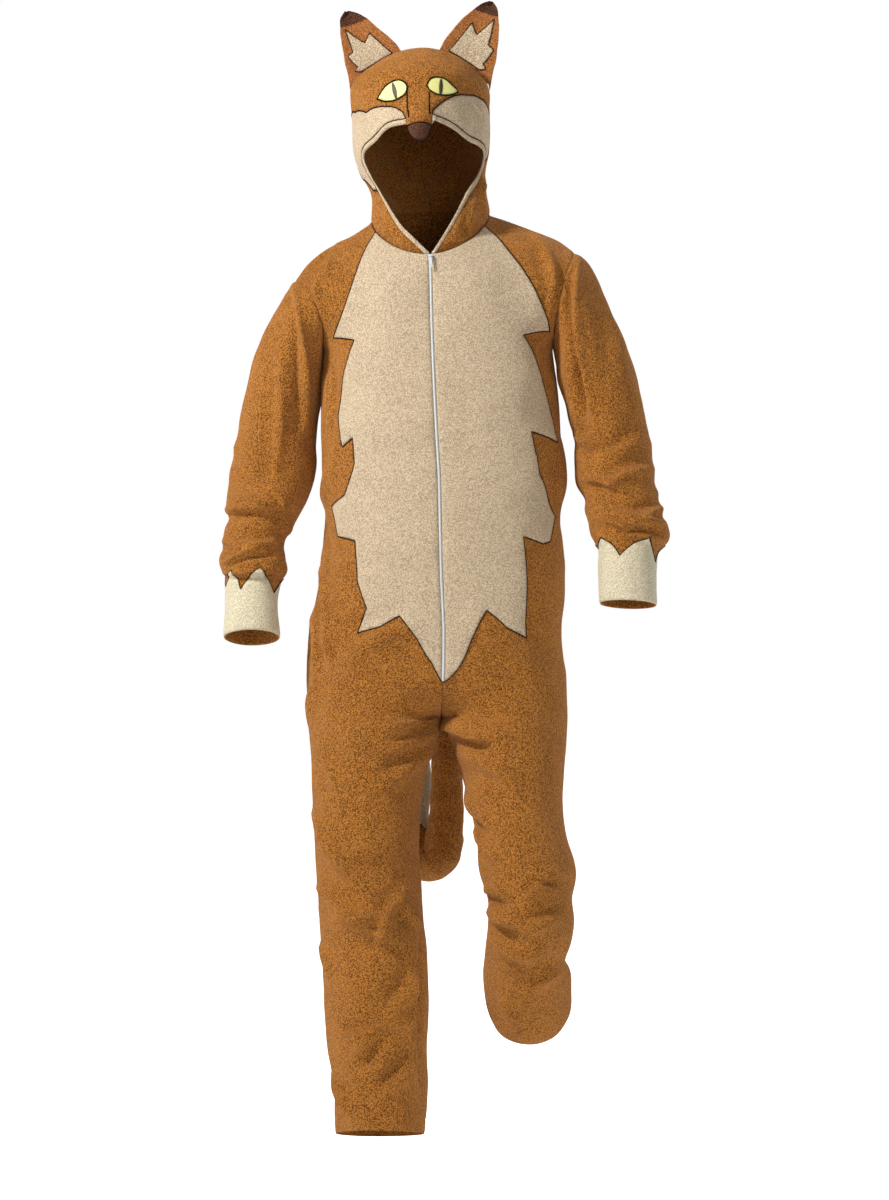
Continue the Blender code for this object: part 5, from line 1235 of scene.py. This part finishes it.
def make_ears(look):
    """Padded ears, their pale fur with a zigzag edge, and their dark tips."""
    for side in SIDES:
        for kind, sections, finish, slot in (("ear", EAR[side], "ear", "ear_fleece"),
                                             ("ear_tip", EAR_TIP[side], "dark", "dark_fleece")):
            last = len(sections["y"]) - 1
            front, rear = ear_grid(sections, last, False), ear_grid(sections, last, True)
            rings = np.concatenate((front, rear[:, ::-1]), 1)
            swell = ripple(rings, *SWELL["ear"])[..., None]
            rings = rings + swell * unit(rings - rings.mean(1, keepdims=True))
            node = kind + "_" + side
            sewn_up = closed_rings(node + "_pad", rings)
            worn(sewn_up, node, look[finish])
        make_ear_fur(side, look)


def make_ear_fur(side, look):
    """Pale fur patch on the front of an ear."""
    sections = EAR[side]
    last = len(sections["y"]) - 1
    outline = np.stack([EAR_FUR["across"], EAR_FUR["up"] * last], -1)
    outline = finer(outline * [3.0, 1.0], 0.06) / [3.0, 1.0]
    x, y = np.meshgrid(np.linspace(0.02, 0.98, 40), np.linspace(0, last, 70))
    nodes = np.stack([x.reshape(-1), y.reshape(-1)], 1)
    flat, faces = patch_net(outline, nodes[inside(nodes, outline)])
    points = ear_surface(sections, flat[:, 0], flat[:, 1], False)
    edge = ear_surface(sections, outline[:, 0], outline[:, 1], False)
    ahead = np.tile([0.0, -1.0, 0.0], (len(points), 1))
    node = "ear_fur_" + side
    piece = cloth(node + "_cloth", lifted(points, ahead, edge, FUR_PUFF), faces, PATCH_WALL, ahead)
    worn(piece, node, look["cream"])
    declare(piece, None)
    stitched(node + "_zigzag", edge, ahead[:len(edge)], look["thread"], FUR_STITCH)


def closed_rings(name, rings):
    """Closed skin through rings of points, capped at both ends."""
    count, size = rings.shape[:2]
    faces = []
    for k in range(count - 1):
        for i in range(size):
            a, b = k * size + i, k * size + (i + 1) % size
            faces.append((a, b, b + size, a + size))
    ends = np.stack([rings[0].mean(0), rings[-1].mean(0)])
    low, high = count * size, count * size + 1
    faces += [((i + 1) % size, i, low) for i in range(size)]
    top = (count - 1) * size
    faces += [(top + i, top + (i + 1) % size, high) for i in range(size)]
    made = cloth(name, np.concatenate((rings.reshape(-1, 3), ends)), faces, thick=0)
    welded(made.data)
    made.data.shade_smooth()
    return made


def welded(mesh):
    """Join coincident points and turn the faces outward."""
    work = bmesh.new()
    work.from_mesh(mesh)
    bmesh.ops.remove_doubles(work, verts=work.verts, dist=2e-5)
    bmesh.ops.recalc_face_normals(work, faces=work.faces)
    work.to_mesh(mesh)
    work.free()


def tail_rings(rows, swell):
    """Rings round the tail's centre line, with the wrinkles of its bend and its seam."""
    centre = np.stack([spline(TAIL[k], rows) for k in "xyz"], -1)
    ahead = np.stack([spline(TAIL[k], rows + 0.05) for k in "xyz"], -1)
    run = unit(ahead - centre)
    side = unit(np.cross(run, [0.0, 1.0, 0.25]))
    other = np.cross(run, side)
    angle = np.linspace(0, 2 * np.pi, TAIL_CORNERS, endpoint=False)[None, :, None]
    radius = np.repeat(spline(TAIL["radius"], rows)[:, None], TAIL_CORNERS, 1)
    way = side[:, None] * np.cos(angle) + other[:, None] * np.sin(angle)
    bend = np.exp(-((rows - 8.6) / 1.9) ** 2)[:, None]
    inner = np.clip(way[..., 2], 0, 1)
    wrinkle = np.cos(2 * np.pi * rows * 1.9)[:, None] * bend * (0.4 + inner) * TAIL_WRINKLE
    from_seam = (np.mod(angle[..., 0] - TAIL_SEAM, 2 * np.pi) - np.pi) * radius
    front_seam = -TAIL_SEAM_DEPTH * np.exp(-(from_seam / TAIL_SEAM_REACH) ** 2)
    radius = radius + wrinkle + front_seam + swell
    rings = centre[:, None] + radius[..., None] * way
    return rings + way * ripple(rings, *SWELL["tail"])[..., None]


# Tail: angle, depth and reach of its seam, its wrinkles, corners and rings, and the teeth of its tip's edge
TAIL_SEAM = 0.4
TAIL_SEAM_DEPTH = 1.6
TAIL_SEAM_REACH = 2.2
TAIL_WRINKLE = 1.5
TAIL_CORNERS = 56
TAIL_RINGS = 150
TIP_RINGS = 80
TAIL_TEETH = 9


def make_tail(look):
    """Stuffed tail and its pale tip, whose zigzag edge lies over the tail."""
    last = len(TAIL["x"]) - 1
    body = tail_rings(np.linspace(0, TAIL_TIP_ROW + 0.25, TAIL_RINGS), 0.0)
    piece = closed_rings("tail_pad", body)
    worn(piece, "tail", look["brown"])
    rows = np.linspace(TAIL_TIP_ROW - 0.2, last, TIP_RINGS)
    tip = tail_rings(rows, 0.9)
    wave = np.abs(np.mod(np.arange(TAIL_CORNERS) / TAIL_CORNERS * TAIL_TEETH, 1) - 0.5) * 2
    for i in range(TAIL_CORNERS):
        start = TAIL_TIP_ROW - 0.42 + 0.55 * wave[i]
        at = start + (last - start) * np.linspace(0, 1, TIP_RINGS)
        tip[:, i] = catmull(tip[:, i], np.clip((at - rows[0]) / (rows[1] - rows[0]), 0, TIP_RINGS - 1))
    piece = closed_rings("tail_tip_pad", tip)
    worn(piece, "tail_tip", look["cream"])
    edge = tip[0]
    out = unit(edge - edge.mean(0))
    stitched("tail_tip_zigzag", edge, out, look["thread"], TIP_STITCH)


# Zip sizes in millimetres
TOOTH = {"pitch": 2.4, "width": 1.9, "length": 1.25, "height": 1.0}
TOOTH_OFFSET = 0.35
TOOTH_SEAT = 0.2
TOOTH_TOP = 0.72
TOOTH_FACES = ((0, 3, 2, 1), (4, 5, 6, 7), (0, 1, 5, 4), (1, 2, 6, 5), (2, 3, 7, 6), (3, 0, 4, 7))
FIRST_TOOTH = 3.0
TAPE_RISE = 0.3
TAPE_WALL = 1.2
TAPE_LINES = (-ZIP_HALF, -0.7, 0, 0.7, ZIP_HALF)


def make_zip(look):
    """Zip tapes and two rows of meshed teeth down the centre front."""
    grid = body_grid("right", "front")[0]
    end = (YOKE_ROWS + ZIP_END_ROW) * FINE
    line = grid[:end + 1, 0]
    run = along(line[None], 1)[0]
    at = np.arange(FIRST_TOOTH, run[-1], TOOTH["pitch"] / 2)
    middle = np.stack([np.interp(at, run, line[:, k]) for k in range(3)], 1)
    down = unit(np.gradient(middle, axis=0))
    out = unit(np.cross(np.array([1.0, 0, 0]), down))
    out *= -np.sign(out[:, 1:2])
    across = np.cross(down, out)
    points, faces = [], []
    for k in range(len(at)):
        way = 1 if k % 2 else -1
        faces += [[len(points) * 8 + i for i in f] for f in TOOTH_FACES]
        outer = across[k] * way
        points.append(tooth(middle[k] + outer * TOOTH_OFFSET, outer, down[k], out[k]))
    teeth = cloth("zip_teeth", np.concatenate(points), np.array(faces), thick=0)
    sewn(teeth, look["teeth"])
    tape = np.stack([middle + across * x + out * TAPE_RISE for x in TAPE_LINES], 1)
    normal = np.repeat(out[:, None], len(TAPE_LINES), 1)
    piece = cloth("zip_chain_tape", tape, grid_faces(len(at), len(TAPE_LINES)), TAPE_WALL, normal)
    worn(piece, "zip_chain", look["tape"])


def tooth(centre, across, down, out):
    """Eight corners of one zip tooth, narrower at its top."""
    corners = []
    for level, share in ((TOOTH_SEAT, 1.0), (TOOTH_SEAT + TOOTH["height"], TOOTH_TOP)):
        for a, b in ((-1, -1), (1, -1), (1, 1), (-1, 1)):
            wide, long = TOOTH["width"] / 2 * share * a, TOOTH["length"] / 2 * share * b
            corners.append(centre + across * wide + down * long + out * level)
    return np.array(corners)


def node(tree, kind, **values):
    """Shader node with its settings and inputs."""
    made = tree.nodes.new(kind)
    for name, value in values.items():
        if hasattr(made, name):
            setattr(made, name, value)
        else:
            made.inputs[name.replace("_", " ")].default_value = value
    return made


def shader_of(name):
    """A new material with its tree, its shader, and the place that its textures read."""
    made = bpy.data.materials.new(name)
    made.use_nodes = True
    tree = made.node_tree
    return made, tree, tree.nodes["Principled BSDF"], node(tree, "ShaderNodeTexCoord").outputs["Object"]


def tinted(tree, shader, factor, shade, lit):
    """Colour between shade and lit."""
    colour = node(tree, "ShaderNodeMix", data_type="RGBA")
    tree.links.new(factor, colour.inputs["Factor"])
    colour.inputs["A"].default_value = (*shade, 1)
    colour.inputs["B"].default_value = (*lit, 1)
    tree.links.new(colour.outputs["Result"], shader.inputs["Base Color"])


def raised(tree, shader, height, strength, distance):
    """Relief of the surface by a height."""
    bump = node(tree, "ShaderNodeBump", Strength=strength, Distance=distance)
    tree.links.new(height, bump.inputs["Height"])
    tree.links.new(bump.outputs["Normal"], shader.inputs["Normal"])


def added(tree, first, second, clamp=False):
    """Sum of two values of a tree."""
    total = node(tree, "ShaderNodeMath", operation="ADD", use_clamp=clamp)
    tree.links.new(first, total.inputs[0])
    tree.links.new(second, total.inputs[1])
    return total.outputs["Value"]


def ranged(tree, value, low, high, to_low, to_high):
    """A value spread from one range to another."""
    spread = node(tree, "ShaderNodeMapRange", From_Min=low, From_Max=high, To_Min=to_low, To_Max=to_high)
    tree.links.new(value, spread.inputs["Value"])
    return spread.outputs["Result"]


def fleece(name, lit, shade, nap=1.0):
    """Brushed fleece: pilled nap in colour and relief, soft unevenness and a sheen of fibre ends."""
    made, tree, shader, where = shader_of(name)
    pile = node(tree, "ShaderNodeTexNoise", Scale=480.0, Detail=2.0, Roughness=0.7)
    curl = node(tree, "ShaderNodeTexNoise", Scale=800.0, Detail=2.0, Roughness=0.7, Distortion=0.6)
    patch = node(tree, "ShaderNodeTexNoise", Scale=22.0, Detail=4.0, Roughness=0.6)
    for texture in (pile, curl, patch):
        tree.links.new(where, texture.inputs["Vector"])
    pile, curl, patch = (texture.outputs["Fac"] for texture in (pile, curl, patch))
    grain = ranged(tree, pile, 0.44, 0.56, 0.0, 1.0)
    uneven = ranged(tree, patch, 0.3, 0.7, -0.1, 0.1)
    tinted(tree, shader, added(tree, grain, uneven, True), shade, lit)
    raised(tree, shader, added(tree, pile, curl), 0.9 * nap, 0.0022)
    shader.inputs["Roughness"].default_value = 0.95
    shader.inputs["Specular IOR Level"].default_value = 0.15
    shader.inputs["Sheen Weight"].default_value = 0.55 * nap
    shader.inputs["Sheen Roughness"].default_value = 0.45
    shader.inputs["Sheen Tint"].default_value = (*[min(1.0, c * 1.5 + 0.1) for c in lit], 1)
    return made


def satin(name, lit, shade, roughness=0.45, weave=1400.0, metallic=0.0, shine=0.5):
    """Smooth woven cloth, thread or moulded tape with a fine cross weave."""
    made, tree, shader, where = shader_of(name)
    wave = node(tree, "ShaderNodeTexWave", Scale=weave, Distortion=1.5, Detail=2.0)
    patch = node(tree, "ShaderNodeTexNoise", Scale=180.0, Detail=3.0)
    for texture in (wave, patch):
        tree.links.new(where, texture.inputs["Vector"])
    tinted(tree, shader, patch.outputs["Fac"], shade, lit)
    raised(tree, shader, wave.outputs["Fac"], 0.25, 0.0003)
    shader.inputs["Roughness"].default_value = roughness
    shader.inputs["Metallic"].default_value = metallic
    shader.inputs["Specular IOR Level"].default_value = shine
    return made


def looks():
    """Every finish of the costume, by name."""
    return {
        "brown": fleece("brown_fleece", (0.47, 0.184, 0.031), (0.115, 0.037, 0.004)),
        "cream": fleece("cream_fleece", (0.60, 0.47, 0.315), (0.34, 0.255, 0.165), 0.8),
        "pale": fleece("pale_fleece", (0.70, 0.62, 0.44), (0.45, 0.38, 0.255), 0.8),
        "ear": fleece("ear_fleece", (0.44, 0.165, 0.045), (0.22, 0.075, 0.02)),
        "dark": fleece("dark_fleece", (0.11, 0.042, 0.02), (0.04, 0.014, 0.007)),
        "satin": satin("eye_satin", (0.72, 0.70, 0.27), (0.62, 0.60, 0.18)),
        "pupil": satin("pupil_satin", (0.06, 0.022, 0.012), (0.02, 0.01, 0.008)),
        "black": satin("black_thread", (0.016, 0.011, 0.009), (0.007, 0.005, 0.005), 0.9, shine=0.08),
        "thread": satin("dark_thread", (0.026, 0.012, 0.008), (0.012, 0.006, 0.004), 0.9, shine=0.08),
        "tape": satin("zip_tape", (0.62, 0.60, 0.55), (0.48, 0.46, 0.42), 0.7, 900.0),
        "teeth": satin("zip_teeth", (0.66, 0.71, 0.76), (0.54, 0.59, 0.65), 0.3, 300.0),
        "enamel": satin("zip_enamel", (0.66, 0.68, 0.71), (0.52, 0.54, 0.57), 0.3, 200.0, 0.2),
    }


def paint_nodes(look):
    """Finish of the solids that stay: the zip's slider and pull."""
    for name in ("zip_slider", "zip_pull"):
        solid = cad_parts[name]
        solid.data.materials.clear()
        solid.data.materials.append(look["enamel"])


# Floor's height in millimetres, and the light that the floor and the white surround give off
FLOOR_Z = -1545
FLOOR_GLOW = 0.4
SKY_GLOW = 0.26
FLOOR_REACH = 14000.0
# Lamps in metres and watts: place, power and size; they all look at one point
LAMPS = {
    "key": ((-1.9, -1.45, 1.45), 118, 0.35),
    "fill": ((1.6, -3.8, 0.3), 34, 2.0),
    "rim": ((1.5, 2.2, 1.5), 45, 1.5),
}
LIT_POINT = (0, 0, -0.5)


def seen_and_lit(tree, glow):
    """A strength that is white where it is looked at and soft as a light."""
    return ranged(tree, node(tree, "ShaderNodeLightPath").outputs["Is Camera Ray"], 0.0, 1.0, glow, 1.0)


def make_stage():
    """White floor, soft lights, and the camera at the photo's angle."""
    ends = (-FLOOR_REACH, FLOOR_REACH)
    grid = np.array([[(x, y, FLOOR_Z) for x in ends] for y in ends])
    floor = cloth("floor", grid, grid_faces(2, 2), thick=0)
    paper = bpy.data.materials.new("floor")
    paper.use_nodes = True
    shader = paper.node_tree.nodes["Principled BSDF"]
    shader.inputs["Base Color"].default_value = (0.92, 0.92, 0.92, 1)
    shader.inputs["Roughness"].default_value = 0.9
    shader.inputs["Emission Color"].default_value = (1, 1, 1, 1)
    paper.node_tree.links.new(seen_and_lit(paper.node_tree, FLOOR_GLOW), shader.inputs["Emission Strength"])
    floor.data.materials.append(paper)
    world = bpy.data.worlds.new("studio")
    world.use_nodes = True
    shader = world.node_tree.nodes["Background"]
    shader.inputs["Color"].default_value = (1, 1, 1, 1)
    world.node_tree.links.new(seen_and_lit(world.node_tree, SKY_GLOW), shader.inputs["Strength"])
    bpy.context.scene.world = world
    bpy.context.scene.view_settings.view_transform = "Standard"
    for name, (place, power, size) in LAMPS.items():
        lamp = bpy.data.lights.new(name, "AREA")
        lamp.energy, lamp.size = power, size
        held = bpy.data.objects.new(name, lamp)
        held.location = place
        held.rotation_euler = (Vector(LIT_POINT) - Vector(place)).to_track_quat("-Z", "Y").to_euler()
        bpy.context.scene.collection.objects.link(held)
    view = bpy.data.cameras.new("camera")
    view.lens = LENS
    view.sensor_width = SENSOR
    camera = bpy.data.objects.new("camera", view)
    camera.location = (EYE_X * MM, -EYE_BACK * MM, EYE_Z * MM)
    camera.rotation_euler = (math.pi / 2, 0, 0)
    bpy.context.scene.collection.objects.link(camera)
    bpy.context.scene.camera = camera


LOOK = looks()
make_stage()
make_body(LOOK)
make_sleeves(LOOK)
HOOD_SHEETS = make_hood(LOOK)
make_face(LOOK)
make_hood_stitches(HOOD_SHEETS, LOOK)
make_ears(LOOK)
make_tail(LOOK)
make_zip(LOOK)
paint_nodes(LOOK)
